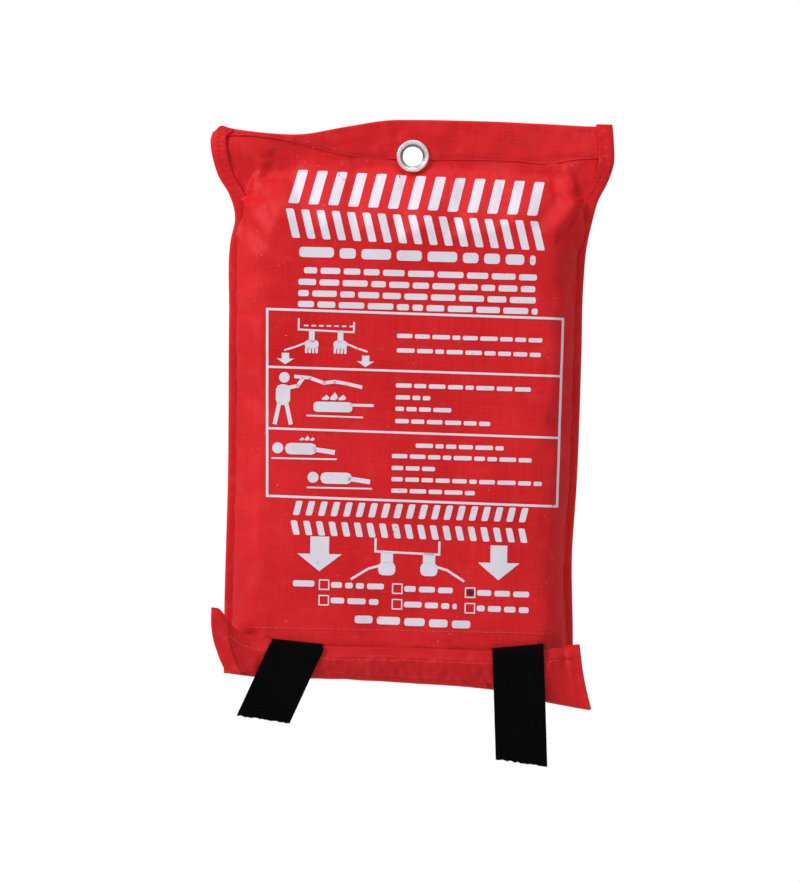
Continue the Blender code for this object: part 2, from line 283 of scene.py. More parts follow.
# ---- materials
class Nodes:
    """Short ways to wire a Principled material."""

    def __init__(self, name):
        self.material = bpy.data.materials.new(name)
        self.material.use_nodes = True
        self.tree = self.material.node_tree
        self.shader = self.tree.nodes["Principled BSDF"]

    def add(self, kind, inputs=None, **settings):
        node = self.tree.nodes.new("ShaderNode" + kind)
        for key, value in settings.items():
            setattr(node, key, value)
        for key, value in (inputs or {}).items():
            self.put(node.inputs[key], value)
        return node

    def put(self, socket, value):
        if isinstance(value, bpy.types.NodeSocket):
            self.tree.links.new(value, socket)
        else:
            socket.default_value = value

    def math(self, operation, a, b=0.0):
        return self.add("Math", {0: a, 1: b}, operation=operation).outputs[0]

    def sine(self, value, pitch):
        """A wave from -1 to 1 that repeats every pitch."""
        return self.math("SINE", self.math("MULTIPLY", value, 2 * math.pi / pitch))

    def noise(self, place, scale, detail=2.0):
        return self.add("TexNoise", {"Vector": place, "Scale": scale, "Detail": detail}).outputs["Fac"]

    def ramp(self, value, low_at, high_at, low_out=0.0, high_out=1.0):
        """The value as a line from low_out to high_out, level outside low_at and high_at."""
        return self.add("MapRange", {0: value, 1: low_at, 2: high_at, 3: low_out, 4: high_out}).outputs[0]

    def tint(self, factor, first, second):
        """A colour from first, at 0, to second, at 1."""
        return self.add("Mix", {0: factor, 6: first, 7: second}, data_type="RGBA").outputs[2]

    def thread_axes(self):
        """Metres across and along the cloth."""
        uv = self.add("UVMap", uv_map="thread").outputs[0]
        across, along, _ = self.add("SeparateXYZ", {0: uv}).outputs
        return uv, across, along

    def place(self):
        """Metres in the frame, as no piece is moved from where its mesh is."""
        return self.add("TexCoord").outputs["Object"]

    def stretched(self, place, *scale):
        """A place squeezed by scale, which draws a pattern out along the axes with small scales."""
        return self.add("Mapping", {"Vector": place, "Scale": scale}).outputs[0]

    def finish(self, colour, roughness, height, depth, **more):
        """Sets the shader, with a bump of height (from 0 to 1) times depth in metres."""
        bump = self.add("Bump", {"Height": height, "Distance": depth, "Strength": 1.0})
        self.put(self.shader.inputs["Normal"], bump.outputs[0])
        self.put(self.shader.inputs["Base Color"], colour)
        self.put(self.shader.inputs["Roughness"], roughness)
        for key, value in more.items():
            self.put(self.shader.inputs[key.replace("_", " ")], value)
        return self.material


def woven_red(name, light, dark, pitch=0.00056, rib=0.35, worn=0.03):
    """Coated plain-weave polyester: fine bumps, uneven threads, cloudy sheen and a few pale specks."""
    n = Nodes(name)
    uv, across, along = n.thread_axes()
    weave = n.math("MULTIPLY", n.sine(across, 2 * pitch), n.sine(along, 2 * pitch))
    ribs = n.math("MULTIPLY", n.sine(along, 3 * pitch), rib)
    slub = n.noise(n.stretched(uv, 1.0, 0.03, 1.0), 1500.0, 1.0)
    weft = n.noise(n.stretched(uv, 0.03, 1.0, 1.0), 1300.0, 1.0)
    cloud = n.noise(n.place(), 22.0, 3.0)
    threads = n.math("ADD", n.math("MULTIPLY", slub, 0.5), n.math("MULTIPLY", weft, 0.5))
    height = n.math("ADD", n.math("ADD", weave, ribs), n.math("MULTIPLY", threads, 1.6))
    # Threads that stand higher in the bump are painted lighter and lower ones darker, a painted shade at
    # thread scale. The cloud also varies the tone at random.
    shade = n.math("ADD", n.math("MULTIPLY", threads, 0.75), n.math("MULTIPLY", cloud, 0.6))
    colour = n.tint(n.ramp(shade, 0.42, 0.92), dark, light)
    specks = n.ramp(n.noise(n.place(), 900.0, 0.0), 0.86, 0.88, 0.0, 0.4)
    colour = n.tint(specks, colour, (0.9, 0.55, 0.5, 1))
    rubbed = n.math("MULTIPLY", n.ramp(n.noise(n.place(), 140.0, 4.0), 0.55, 0.75), worn)
    colour = n.tint(rubbed, colour, (0.95, 0.45, 0.42, 1))
    rough = n.ramp(cloud, 0.3, 0.7, 0.46, 0.6)
    return n.finish(
        colour, rough, height, 0.00003,
        Sheen_Weight=0.08, Sheen_Roughness=0.4, Sheen_Tint=(1, 0.3, 0.3, 1), Specular_IOR_Level=0.22,
    )


def print_ink(name, solid, faded):
    """Screen-print ink over the weave, thin enough to let a little red through."""
    n = Nodes(name)
    place = n.place()
    axes = n.add("SeparateXYZ", {0: place})
    weave = n.math("MULTIPLY", n.sine(axes.outputs[0], 0.0011), n.sine(axes.outputs[2], 0.0011))
    patchy = n.noise(place, 260.0, 3.0)
    thin = n.ramp(patchy, 0.56, 0.78, 0.0, 0.16)
    colour = n.tint(thin, solid, faded)
    gone = n.ramp(n.noise(place, 620.0, 1.0), 0.755, 0.775, 0.0, 0.8)
    colour = n.tint(gone, colour, (0.62, 0.03, 0.04, 1))
    return n.finish(colour, n.ramp(patchy, 0.3, 0.7, 0.5, 0.66), weave, 0.000025)


def black_weave():
    """Narrow webbing: a herringbone that runs along the tape, over fine cross ribs."""
    n = Nodes("black_webbing")
    uv, across, along = n.thread_axes()
    zigzag = n.math("PINGPONG", n.math("ADD", across, 0.05), 0.0021)
    bone = n.sine(n.math("ADD", along, zigzag), 0.00125)
    ribs = n.sine(along, 0.00085)
    cords = n.sine(across, 0.0014)
    ribbed = n.math("ADD", bone, n.math("MULTIPLY", ribs, 0.5))
    height = n.math("ADD", ribbed, n.math("MULTIPLY", cords, 0.4))
    fuzz = n.noise(uv, 2600.0, 2.0)
    height = n.math("ADD", height, n.math("MULTIPLY", fuzz, 0.8))
    # The colour follows the height: the ribs' tops carry painted highlights and their grooves painted
    # shade. A broad noise adds random tone.
    shade = n.math("ADD", n.ramp(height, -1.4, 2.4), n.math("MULTIPLY", n.noise(n.place(), 60.0), 0.3))
    colour = n.tint(n.ramp(shade, 0.35, 1.1), (0.0002, 0.0002, 0.0003, 1), (0.006, 0.006, 0.0065, 1))
    return n.finish(colour, n.ramp(fuzz, 0.3, 0.7, 0.75, 0.92), height, 0.00014, Specular_IOR_Level=0.035)


def pile(name, colour, deep):
    """Hook-and-loop pile: a dense matt fuzz."""
    n = Nodes(name)
    place = n.place()
    fuzz = n.noise(place, 1500.0, 4.0)
    tufts = n.add("TexVoronoi", {"Vector": place, "Scale": 850.0}).outputs["Distance"]
    # The colour follows the pile's height: its hollows are painted darker as shade.
    shade = n.tint(n.ramp(n.math("SUBTRACT", fuzz, n.math("MULTIPLY", tufts, 0.5)), 0.0, 0.5), deep, colour)
    return n.finish(shade, 0.92, n.math("SUBTRACT", fuzz, tufts), 0.0003, Sheen_Weight=0.4)


def twisted_thread(name, colour, deep):
    """Sewing thread, with the slanted bumps of its lay."""
    n = Nodes(name)
    place = n.place()
    axes = n.add("SeparateXYZ", {0: place})
    lay = n.math("ADD", axes.outputs[0], n.math("MULTIPLY", axes.outputs[2], 0.7))
    twist = n.sine(lay, 0.00035)
    # The colour follows the twist: its grooves are painted darker as shade, with some random tone from the
    # noise.
    shade = n.tint(n.ramp(n.math("ADD", twist, n.noise(place, 300.0)), -0.6, 1.6), deep, colour)
    return n.finish(shade, 0.55, twist, 0.00004, Sheen_Weight=0.05, Specular_IOR_Level=0.2)


def glass_weave():
    """Off-white glass cloth in a satin weave, of cloudy, uneven tone."""
    n = Nodes("glass_cloth")
    uv, across, along = n.thread_axes()
    weave = n.math("MULTIPLY", n.sine(across, 0.0016), n.sine(along, 0.0011))
    slub = n.noise(n.stretched(uv, 1.0, 0.05, 1.0), 900.0)
    cloud = n.noise(n.place(), 35.0, 4.0)
    # Its slubs, which also stand proud in the bump, are painted lighter, a painted highlight. The cloud
    # varies the tone at random.
    shade = n.math("ADD", n.math("MULTIPLY", slub, 0.6), n.math("MULTIPLY", cloud, 0.7))
    colour = n.tint(n.ramp(shade, 0.4, 0.95), (0.60, 0.57, 0.48, 1), (0.84, 0.82, 0.75, 1))
    height = n.math("ADD", weave, n.math("MULTIPLY", slub, 1.2))
    return n.finish(colour, n.ramp(cloud, 0.3, 0.7, 0.42, 0.6), height, 0.00007, Sheen_Weight=0.15)


def nickel():
    """Bright plate with fine polishing marks and a few dull spots. Inside its barrel the upper part is
    painted dark as shade, and the lower part lighter as painted light.
    """
    n = Nodes("bright_nickel")
    place = n.place()
    marks = n.noise(n.stretched(place, 1.0, 12.0, 4.0), 900.0, 3.0)
    dull = n.noise(place, 420.0, 3.0)
    colour = n.tint(n.ramp(dull, 0.45, 0.75), (0.98, 0.97, 0.96, 1), (0.80, 0.79, 0.78, 1))
    axes = n.add("SeparateXYZ", {0: place})
    squares = (n.math("POWER", axes.outputs[k], 2.0) for k in (0, 2))
    radius = n.math("SQRT", n.math("ADD", *squares))
    # Inside the barrel: painted shade at the top, fading to painted light below the middle.
    below = n.ramp(axes.outputs[2], 0.0, -0.0045, 0.0, 0.7)
    bright = n.math("MAXIMUM", n.ramp(radius, 0.0053, 0.0062), below)
    colour = n.tint(bright, (0.06, 0.055, 0.055, 1), colour)
    # Only part metallic, so the near-white colour also shows as a diffuse white. This stands in for the
    # white surround's reflection, a painted reflection.
    return n.finish(colour, n.ramp(dull, 0.35, 0.75, 0.2, 0.36), marks, 0.00001, Metallic=0.6)


# Colours are linear light. Cloth, pile and thread go from tops to hollows, which are painted darker as
# shade, and ink from thick to thin.
RED = woven_red("red_cloth", (0.80, 0.016, 0.022, 1), (0.58, 0.004, 0.007, 1))
# The flap's cloth is painted a darker red than the pouch's. This is painted shade, as less light reaches it
# low down.
FLAP_SHADED_RED = woven_red("flap_red_cloth_painted_shade", (0.69, 0.010, 0.014, 1), (0.49, 0.003, 0.005, 1))
RED_TAPE = woven_red("red_binding", (0.80, 0.014, 0.020, 1), (0.58, 0.004, 0.007, 1), 0.0007, 0.9, 0.05)
INK = print_ink("white_ink", (0.78, 0.74, 0.83, 1), (0.72, 0.25, 0.30, 1))
BLACK_INK = print_ink("black_ink", (0.03, 0.004, 0.005, 1), (0.12, 0.01, 0.01, 1))
WEB = black_weave()
LOOP_PILE = pile("red_loop_pile", (0.78, 0.022, 0.028, 1), (0.42, 0.004, 0.007, 1))
HOOK_PILE = pile("red_hook_pile", (0.40, 0.016, 0.02, 1), (0.20, 0.004, 0.006, 1))
RED_THREAD = twisted_thread("red_thread", (0.78, 0.06, 0.07, 1), (0.40, 0.008, 0.012, 1))
PALE_THREAD = twisted_thread("pale_red_thread", (0.92, 0.12, 0.13, 1), (0.6, 0.03, 0.04, 1))
BLACK_THREAD = twisted_thread("black_thread", (0.02, 0.02, 0.02, 1), (0.004, 0.004, 0.004, 1))
CREAM_THREAD = twisted_thread("cream_thread", (0.82, 0.80, 0.72, 1), (0.5, 0.48, 0.4, 1))
GLASS = glass_weave()
NICKEL = nickel()


# ---- the pouch's outline and relief
# Each side's outer edge over height; the top fold's height and the height the facing ends at, over x
LEFT_EDGE = smooth_line((-262, -88.2), (-226, -88.6), (-160, -88.2), (-80, -89.3), (-44, -89.4),
                        (-31, -87.4), (-20, -90.8), (-12, -95.8), (-4, -98.6), (6, -100.2), (15, -99.0))
RIGHT_EDGE = smooth_line((-262, 84.9), (-230, 84.0), (-198, 82.9), (-160, 84.5), (-98, 85.5),
                         (-60, 85.8), (-43, 87.0), (-30, 89.6), (-20, 92.2), (-11, 96.6), (-2, 99.4),
                         (8, 99.3), (18, 98.4))
TOP_FOLD = smooth_line((-100, 8.6), (-96.5, 11.3), (-93, 12.0), (-88, 11.3), (-70, 9.5), (-56, 9.4),
                       (-34, 13.6), (-12, 17.4), (0, TOP), (33, TOP), (66, 17.1), (91, 16.4), (100, 16.6))
FACING_END = smooth_line((-100, 7.6), (-80, 8.2), (-57, 5.0), (-42, 1.4), (-28, -0.9), (0, -1.5),
                         (50, -1.5), (67, -2.4), (80, -0.2), (95, 1.0))
BINDING_WIDTH = 7.4
# The front cloth's top edge before it is stretched up under the top fold
FRONT_TOP = 7.0
# How far in from the outer edge the seam, the widest part of the filled front and the cloth's own edge are
SEAM_IN = 7.0
BELLY_IN = 3.4
RAW_EDGE_IN = 1.6
# Creases: start, end, width and rise of each, in mm
FRONT_FOLDS = (
    ((-80, -8), (-84.5, -20), 3.0, -2.6), ((-74, -5), (-79.5, -24), 2.6, 1.1),
    ((-71, -30), (-84, -52), 4.5, -0.9), ((-82, -66), (-83.5, -120), 3.0, 0.6),
    ((85, -7), (82.5, -19), 2.8, -3.0), ((76, -5), (82.5, -19), 1.8, 1.2),
    ((69, -3), (77, -15), 2.2, 0.8), ((85.5, -22), (81.5, -33), 2.4, -2.0),
    ((78, -22), (83, -30), 2.0, 1.0), ((71, -10), (66, -34), 4.5, -0.7),
    ((-66, 0), (-52, -26), 5.0, -0.7), ((-20, -6), (-46, -15), 3.5, -0.5),
    ((80, -60), (77, -130), 4.0, -0.8), ((79, -140), (80.5, -235), 3.0, -0.6),
)
HEADER_FOLDS = (
    ((-60.4, 4.2), (-73, -2.4), 1.0, -0.7), ((-60, 6.4), (-72, 0.8), 1.5, 0.5),
    ((-10.4, 17.5), (-7.6, 9.5), 1.0, -0.7), ((-13.5, 18), (-11, 8), 1.6, 0.45),
    ((-12, -1.4), (-38, -2.0), 1.8, -0.6), ((-9, -3), (-9, 4), 1.4, -0.4),
    ((-24, 9), (-50, 6), 3.0, 0.5), ((30, 12), (62, 3), 3.5, -0.45),
    ((75, 14), (88, 7), 2.5, 0.5), ((60, -1), (84, 2), 1.6, -0.5),
)
# Units per mm: the simulated cloth is 10 times life size, as the simulation is steadier at that size
SIM_SCALE = 0.01
SIM_FRAMES = 22
SIM_SLACK = 0.022
SIM_PRESSURE = 1.5
SIM_BENDING = 0.6
# How far in mm the simulation may move the cloth: outwards, inwards, and up or sideways
SIM_REACH, SIM_SINK, SIM_SHIFT = 3.6, 0.9, 1.5


def signed_edge(side, z):
    """Half width to the binding's outer edge, always positive, on the left where side is below 0."""
    return np.where(side < 0, -LEFT_EDGE(z), RIGHT_EDGE(z))


def filled(x, z):
    """0 in the flat header, 1 where the blanket fills the pouch; the corners fill lower down."""
    corner = step(52, 84, np.abs(x))
    return step(-3.5 - 3.0 * corner, -31.0 - 5.0 * corner, z)


def header_drape(x, z):
    """Relief shared by all of the header's layers, bindings included; towards the viewer below 0."""
    left, right = step(-52, -90, x), step(55, 96, x)
    above = step(-24, 12, z)
    bend = -1.6 * step(-14, -56, x) * step(-86, -62, x) * step(-2, 16, z)
    soft = -0.5 * (1 + waves(x, z, 46, 3)) * step(10, 34, np.abs(x)) * above
    return bend + soft - (2.0 * left + 1.2 * right) * step(-20, 2, z) * step(20, 0, z)


def front_relief(x, z):
    """Puckers and dimples of the front cloth alone, in mm out of its surface."""
    body = filled(x, z)
    edge = step(50, 80, np.abs(x))
    relief = 0.35 * waves(x, z * 0.45, 30, 11) * body + 0.28 * waves(x, z, 15, 12) * body * edge
    shoulder = step(-95, -30, z) * step(-5, -24, z)
    relief = relief + 0.75 * waves(x * 0.6, z, 26, 21) * shoulder * (0.35 + 0.65 * edge)
    for shape in FRONT_FOLDS:
        relief = relief + fold(x, z, *shape)
    return relief + 0.5 * step(-205, -250, z) * waves(x, z * 0.4, 24, 31)


def header_relief(x, z):
    """Creases in the facing and the header's front."""
    relief = 0
    for shape in HEADER_FOLDS:
        relief = relief + fold(x, z, *shape)
    clear = step(8.5, 13, np.hypot(x, z))
    return clear * (relief + 0.3 * waves(x, z, 17, 5))


def header_only(x, z):
    """The header's drape, faded out where the blanket fills the pouch."""
    return header_drape(x, z) * (1 - filled(x, z))


def front_section(side, z, share):
    """Half the front cloth's section at height z: share runs from 0, the middle, to 1, the cloth's edge."""
    edge = float(signed_edge(side, z))
    deep = BULGE_Y
    course = [(0, deep), (edge * 0.35, deep), (edge * 0.68, deep + 0.15), (edge - 17, deep + 0.7),
              (edge - 10, deep + 2.9), (edge - 5.4, deep + 7.2), (edge - BELLY_IN, deep + 11.0),
              (edge - 4.3, deep + 14.2), (edge - SEAM_IN + 0.2, -0.8), (edge - 5.6, -0.1),
              (edge - RAW_EDGE_IN, 0.0)]
    full = spaced(course, 220)
    at = np.linspace(0, 1, len(full))
    x = np.interp(share, at, full[:, 0])
    y = np.interp(share, at, full[:, 1])
    flat = (edge - RAW_EDGE_IN) * share
    fill = filled(x, z)
    return side * mix(flat, x, fill), y * fill


def push_out(points, relief):
    """Moves a grid of points out along its own surface, towards the viewer, by relief."""
    normal = grid_normals(points)
    normal *= -np.sign(normal[..., 1:2] + 1e-9)
    return points + normal * relief[..., None]


def front_cloth():
    """The front panel, from under the facing to the mouth's hem, filled out by the blanket."""
    heights = np.concatenate([np.linspace(FRONT_TOP, -62, 62), np.linspace(-63.5, MOUTH, 112)])
    share = np.linspace(0, 1, 74)
    rows = []
    for z in heights:
        halves = [front_section(side, z, share) for side in (-1, 1)]
        x = np.concatenate([halves[0][0][:0:-1], halves[1][0]])
        y = np.concatenate([halves[0][1][:0:-1], halves[1][1]])
        rows.append(np.stack([x, y, np.full_like(x, z)], axis=1))
    points = np.array(rows)
    x, z = points[..., 0], points[..., 2]
    top = np.minimum(10.0, TOP_FOLD(x) - 1.3)
    points[..., 2] = z = np.where(z > 0, z * top / FRONT_TOP, z)
    inside = step(1.0, 0.93, np.abs(np.linspace(-1, 1, points.shape[1])))[None, :]
    hem = 0.8 * step(MOUTH + 9.5, MOUTH + 8.6, z)
    relief = front_relief(x, z) * inside + header_relief(x, z) * (1 - filled(x, z)) * inside
    points = push_out(points, relief + 0.25 * hem)
    points[..., 1] += header_only(x, z)
    points = settle(points)
    # Filled out below the facing's end, kept in front of the back cloth, and pressed flat by the eyelet
    below_facing = step(FACING_END(x) + 0.2, FACING_END(x) - 1.6, z)
    points[..., 1] -= 0.36 * inside * below_facing * step(-60, -10, z)
    points[..., 1] = np.minimum(points[..., 1], header_only(x, z) + 0.1)
    clamped = step(EYELET_R + 5.0, EYELET_R + 0.8, np.hypot(x, z))
    points[..., 1] = mix(points[..., 1], np.maximum(points[..., 1], -0.45), clamped)
    piece = sheet_mesh("front_panel_cloth", points, RED)
    punch_hole(piece)
    declare(piece, "pouch", "red_cloth", "front_panel")
    return piece


def settle(points):
    """Slack cloth let go round the blanket: a short cloth simulation, held at its seams, that buckles it.

    Every second row and column is simulated, and the rest follow.
    """
    rows, columns = np.arange(points.shape[0]), np.arange(points.shape[1])
    coarse = points[::2, ::2]
    count = coarse.shape[:2]
    mesh = bpy.data.meshes.new("slack")
    mesh.from_pydata((coarse.reshape(-1, 3) * SIM_SCALE).tolist(), [], quads(*count, 0, True))
    slack = bpy.data.objects.new("slack", mesh)
    bpy.context.scene.collection.objects.link(slack)
    held = np.ones(count)
    held[:, 3:-3] = 0
    held = np.maximum(held, step(-15.0, -5.0, coarse[..., 2]))
    held = np.maximum(held, 0.6 * step(MOUTH + 12, MOUTH, coarse[..., 2]))
    group = slack.vertex_groups.new(name="held")
    for i, weight in enumerate(held.ravel()):
        group.add([i], float(weight), "REPLACE")
    cloth = slack.modifiers.new("cloth", "CLOTH")
    settings = cloth.settings
    settings.vertex_group_mass = "held"
    settings.quality, settings.mass, settings.air_damping = 6, 0.2, 2.0
    settings.tension_stiffness = settings.compression_stiffness = 18.0
    settings.shear_stiffness, settings.bending_stiffness = 6.0, SIM_BENDING
    settings.shrink_min = settings.shrink_max = -SIM_SLACK
    settings.use_pressure, settings.uniform_pressure_force = True, SIM_PRESSURE
    settings.effector_weights.gravity = 0.0
    cloth.collision_settings.use_collision = False
    for number in range(1, SIM_FRAMES + 1):
        bpy.context.scene.frame_set(number)
    settled = slack.evaluated_get(bpy.context.evaluated_depsgraph_get()).to_mesh()
    moved = np.zeros(len(settled.vertices) * 3, np.float32)
    settled.vertices.foreach_get("co", moved)
    shift = moved.reshape(*count, 3) / SIM_SCALE - coarse
    bpy.data.objects.remove(slack)
    bpy.context.scene.frame_set(1)
    shift[..., 1] = np.clip(shift[..., 1], -SIM_REACH, SIM_SINK)
    shift[..., [0, 2]] = np.clip(shift[..., [0, 2]], -SIM_SHIFT, SIM_SHIFT)
    fine = [resample(shift[..., k], rows[::2], columns[::2], rows, columns) for k in range(3)]
    return points + np.stack(fine, axis=2)


def resample(values, rows, columns, all_rows, all_columns):
    """A grid of values again at every row and column."""
    down = np.stack([np.interp(all_rows, rows, column) for column in values.T], axis=1)
    return np.stack([np.interp(all_columns, columns, row) for row in down])


def punch_hole(piece):
    """The eyelet's hole through one layer."""
    bpy.ops.mesh.primitive_cylinder_add(vertices=64, radius=(HOLE_R + 0.6) * MM, depth=0.03)
    cutter = bpy.context.object
    cutter.rotation_euler.x = math.pi / 2
    bpy.context.view_layer.update()
    cut = piece.modifiers.new("hole", "BOOLEAN")
    cut.object, cut.operation, cut.solver = cutter, "DIFFERENCE", "EXACT"
    evaluated = piece.evaluated_get(bpy.context.evaluated_depsgraph_get())
    mesh = bpy.data.meshes.new_from_object(evaluated)
    piece.modifiers.clear()
    piece.data = mesh
    bpy.data.objects.remove(cutter)


def back_cloth():
    """The back panel. It folds over the top of the header and ends in front, as its facing."""
    columns = np.linspace(-1, 1, 150)
    rows = []
    for z in np.concatenate([np.linspace(-256.4, -66, 80), np.linspace(-64, -2, 42)]):
        x = columns * (signed_edge(columns, z) - RAW_EDGE_IN)
        on_wall = (BACK_Y - LAYER) * step(82.5, 74, np.abs(x)) * step(-9, -36, z)
        slack = 0.5 * waves(x, z * 0.5, 34, 41) + 0.4 * waves(x, z, 17, 42)
        slack = -np.abs(slack) * step(84, 70, np.abs(x)) * step(6, -30, z)
        rows.append(np.stack([x, LAYER + on_wall + slack, np.full_like(x, z)], axis=1))
    top = columns * (signed_edge(columns, 8.0) - RAW_EDGE_IN)
    crest = TOP_FOLD(top) - LAYER
    for t in np.linspace(0, 1, 14)[1:]:
        z = mix(-2.0, crest, t)
        x = columns * (signed_edge(columns, z) - RAW_EDGE_IN)
        rows.append(np.stack([x, np.full_like(x, LAYER), z], axis=1))
    for angle in np.linspace(0, math.pi, 9)[1:]:
        y, z = LAYER * math.cos(angle), crest + LAYER * math.sin(angle)
        rows.append(np.stack([x, np.full_like(x, y), z], axis=1))
    for t in np.linspace(0, 1, 24)[1:]:
        z = mix(crest, FACING_END(top), t)
        x = columns * (signed_edge(columns, z) - RAW_EDGE_IN)
        off_eyelet = step(EYELET_R + 1, EYELET_R + 5, np.abs(x))
        sewn_down = (LAYER - CLOTH - 0.1) * step(0.80, 0.97, t) * off_eyelet
        rows.append(np.stack([x, sewn_down - LAYER, z], axis=1))
    points = np.array(rows)
    x, z = points[..., 0], points[..., 2]
    front = step(0.2, -0.6, points[..., 1])
    points[..., 1] += header_only(x, z) - header_relief(x, z) * front
    piece = sheet_mesh("back_panel_cloth", points, RED)
    punch_hole(piece)
    declare(piece, "pouch", "red_cloth", "back_panel")
    return piece


def side_binding(name, side):
    """Bias tape folded round the pouch's side edge from over the top to the mouth, puckered by its seam."""
    top = float(TOP_FOLD(side * 94)) + 1.1
    heights = np.concatenate([np.linspace(top, -50, 110), np.linspace(-51, -257.5, 170)])
    across = np.linspace(0, 1, 9)
    rows = []
    for z in heights:
        edge = float(signed_edge(side, z)) - CLOTH / 2
        width = BINDING_WIDTH + (2.4 if side < 0 else 0.4) * float(step(top - 5, top - 0.5, z))
        inner = edge - width
        front = -2 * LAYER + LAYER * float(step(-2, -8, z))
        arc = [(edge - 0.9 + 0.9 * math.sin(a), mix(front, 2 * LAYER, 0.5 - 0.5 * math.cos(a)))
               for a in np.linspace(0, math.pi, 7)[1:-1]]
        front_leg = [(mix(inner, edge - 0.9, t), front) for t in across]
        back_leg = [(mix(edge - 0.9, inner, t), 2 * LAYER) for t in across]
        rows.append([(side * x, y, z) for x, y in front_leg + arc + back_leg])
    points = np.array(rows)
    x, z = points[..., 0], points[..., 2]
    header = step(-46, -6, z)
    from_fold = np.linspace(-1, 1, points.shape[1])[None, :]
    free = np.abs(from_fold) ** 0.5
    pucker = 0.16 * np.sin(z * 2 * math.pi / 5.3 + 2 * np.sin(z / 9)) + 0.2 * waves(x * 2, z, 12, 50 + side)
    lengthwise = 0.32 * np.sin((np.abs(x) - signed_edge(x, z)) * 1.7 + 0.6 * np.sin(z / 6)) * header
    facing = np.where(from_fold < 0, -1, 1)
    lift = (np.abs(pucker) + np.maximum(lengthwise, 0)) * free * (0.4 + 0.6 * header)
    lift = np.where(facing > 0, np.minimum(lift, 0.25), lift)
    points[..., 1] += facing * lift + header_only(x, z)
    if side < 0:
        inward = signed_edge(x, z) - np.abs(x)
        rounding = 3.2 * step(4.5, 0.3, inward) + 1.4 * step(4.5, 10, inward)
        points[..., 2] -= step(top - 9, top, z) * rounding
    piece = sheet_mesh(name + "_binding_tape", points, RED_TAPE)
    declare(piece, "pouch", "red_binding", name + "_binding")
    return piece


def ring(name, profile, node):
    """A turned ring about the hole, from a closed profile of (radius, y)."""
    turns, count = 96, len(profile)
    points, faces = [], []
    for i in range(turns):
        angle = 2 * math.pi * i / turns
        points += [(r * math.cos(angle), y, r * math.sin(angle)) for r, y in profile]
        here, there = i * count, (i + 1) % turns * count
        for j in range(count):
            k = (j + 1) % count
            faces.append((here + j, here + k, there + k, there + j))
    piece = make_mesh(name, np.array(points) * MM, faces, NICKEL, sharp=65)
    declare(piece, "pouch", "bright_nickel", node)


def eyelet():
    """Domed flange with a rolled-in barrel, and the washer that it is clinched over behind."""
    brim, barrel = 6.1, HOLE_R - 0.3
    half, centre = (EYELET_R - brim) / 2, (EYELET_R + brim) / 2
    face = EYELET_FRONT + 1.2
    profile = [(EYELET_R - 0.15, face + 0.25), (EYELET_R, face + 0.1)]
    for angle in np.linspace(0, math.pi, 15):
        profile.append((centre + half * math.cos(angle), face - 0.1 - 1.1 * math.sin(angle) ** 0.8))
    for angle in np.linspace(0, math.pi / 2, 7):
        profile.append((barrel + (brim - HOLE_R + 0.2) * math.cos(angle), face + 0.9 * math.sin(angle)))
    profile += [(barrel, y) for y in np.linspace(face + 1.1, EYELET_BACK - 0.7, 5)]
    for angle in np.linspace(0, math.pi * 0.95, 8):
        profile.append((HOLE_R + 0.6 - 0.9 * math.cos(angle), EYELET_BACK - 0.6 + 0.55 * math.sin(angle)))
    profile += [(HOLE_R + 0.1, EYELET_BACK - 0.75), (HOLE_R + 0.1, face + 1.2), (brim + 0.1, face + 0.35)]
    ring("eyelet_domed_flange", profile[::-1], "eyelet_flange")
    back = EYELET_BACK - 1.7
    washer = [(HOLE_R + 0.7, back), (EYELET_R - 0.2, back), (EYELET_R, back + 0.2),
              (EYELET_R - 0.3, back + 0.55), (centre + 0.5, back + 0.95), (HOLE_R + 0.9, back + 0.6),
              (HOLE_R + 0.7, back + 0.3)]
    ring("eyelet_back_washer", washer, "eyelet_washer")


# ---- the flap that closes the mouth
# Its top edge, front fold and back fold, as heights over x, in mm
LIP_TOP = smooth_line((-92.7, -224.4), (-89.6, -225.0), (-86.8, -228.2), (-83.4, -232.2), (-79.6, -235.2),
                      (-74.8, -236.9), (-65.7, -238.7), (-39.4, -241.5), (0, -241.6), (38, -242.2),
                      (70, -241.0), (80, -239.5), (88, -238.6))
FRONT_FOLD = smooth_line((-86, -256.0), (-72, -257.6), (-30, -257.7), (7, -259.2), (34, -260.5),
                         (48, -261.9), (73, -267.4), (93, -270.5))
BACK_FOLD = smooth_line((-95, -257.0), (-50, -258.2), (0, -259.4), (95, -261.4))
# Where the rear piece ends and the lip's piece begins
SPLIT_Y = -10.0
FLAP_COLUMNS = np.concatenate([np.linspace(0, 0.1, 22)[:-1], np.linspace(0.1, 0.93, 130)[:-1],
                               np.linspace(0.93, 1, 16)])
# How far the lip's hem seam is below its top edge
HEM_DEPTH = 6.0
LIP_FOLDS = (((80.5, -243), (84.5, -266), 1.6, 0.9), ((-84, -232), (-76, -254), 2.4, -0.5))


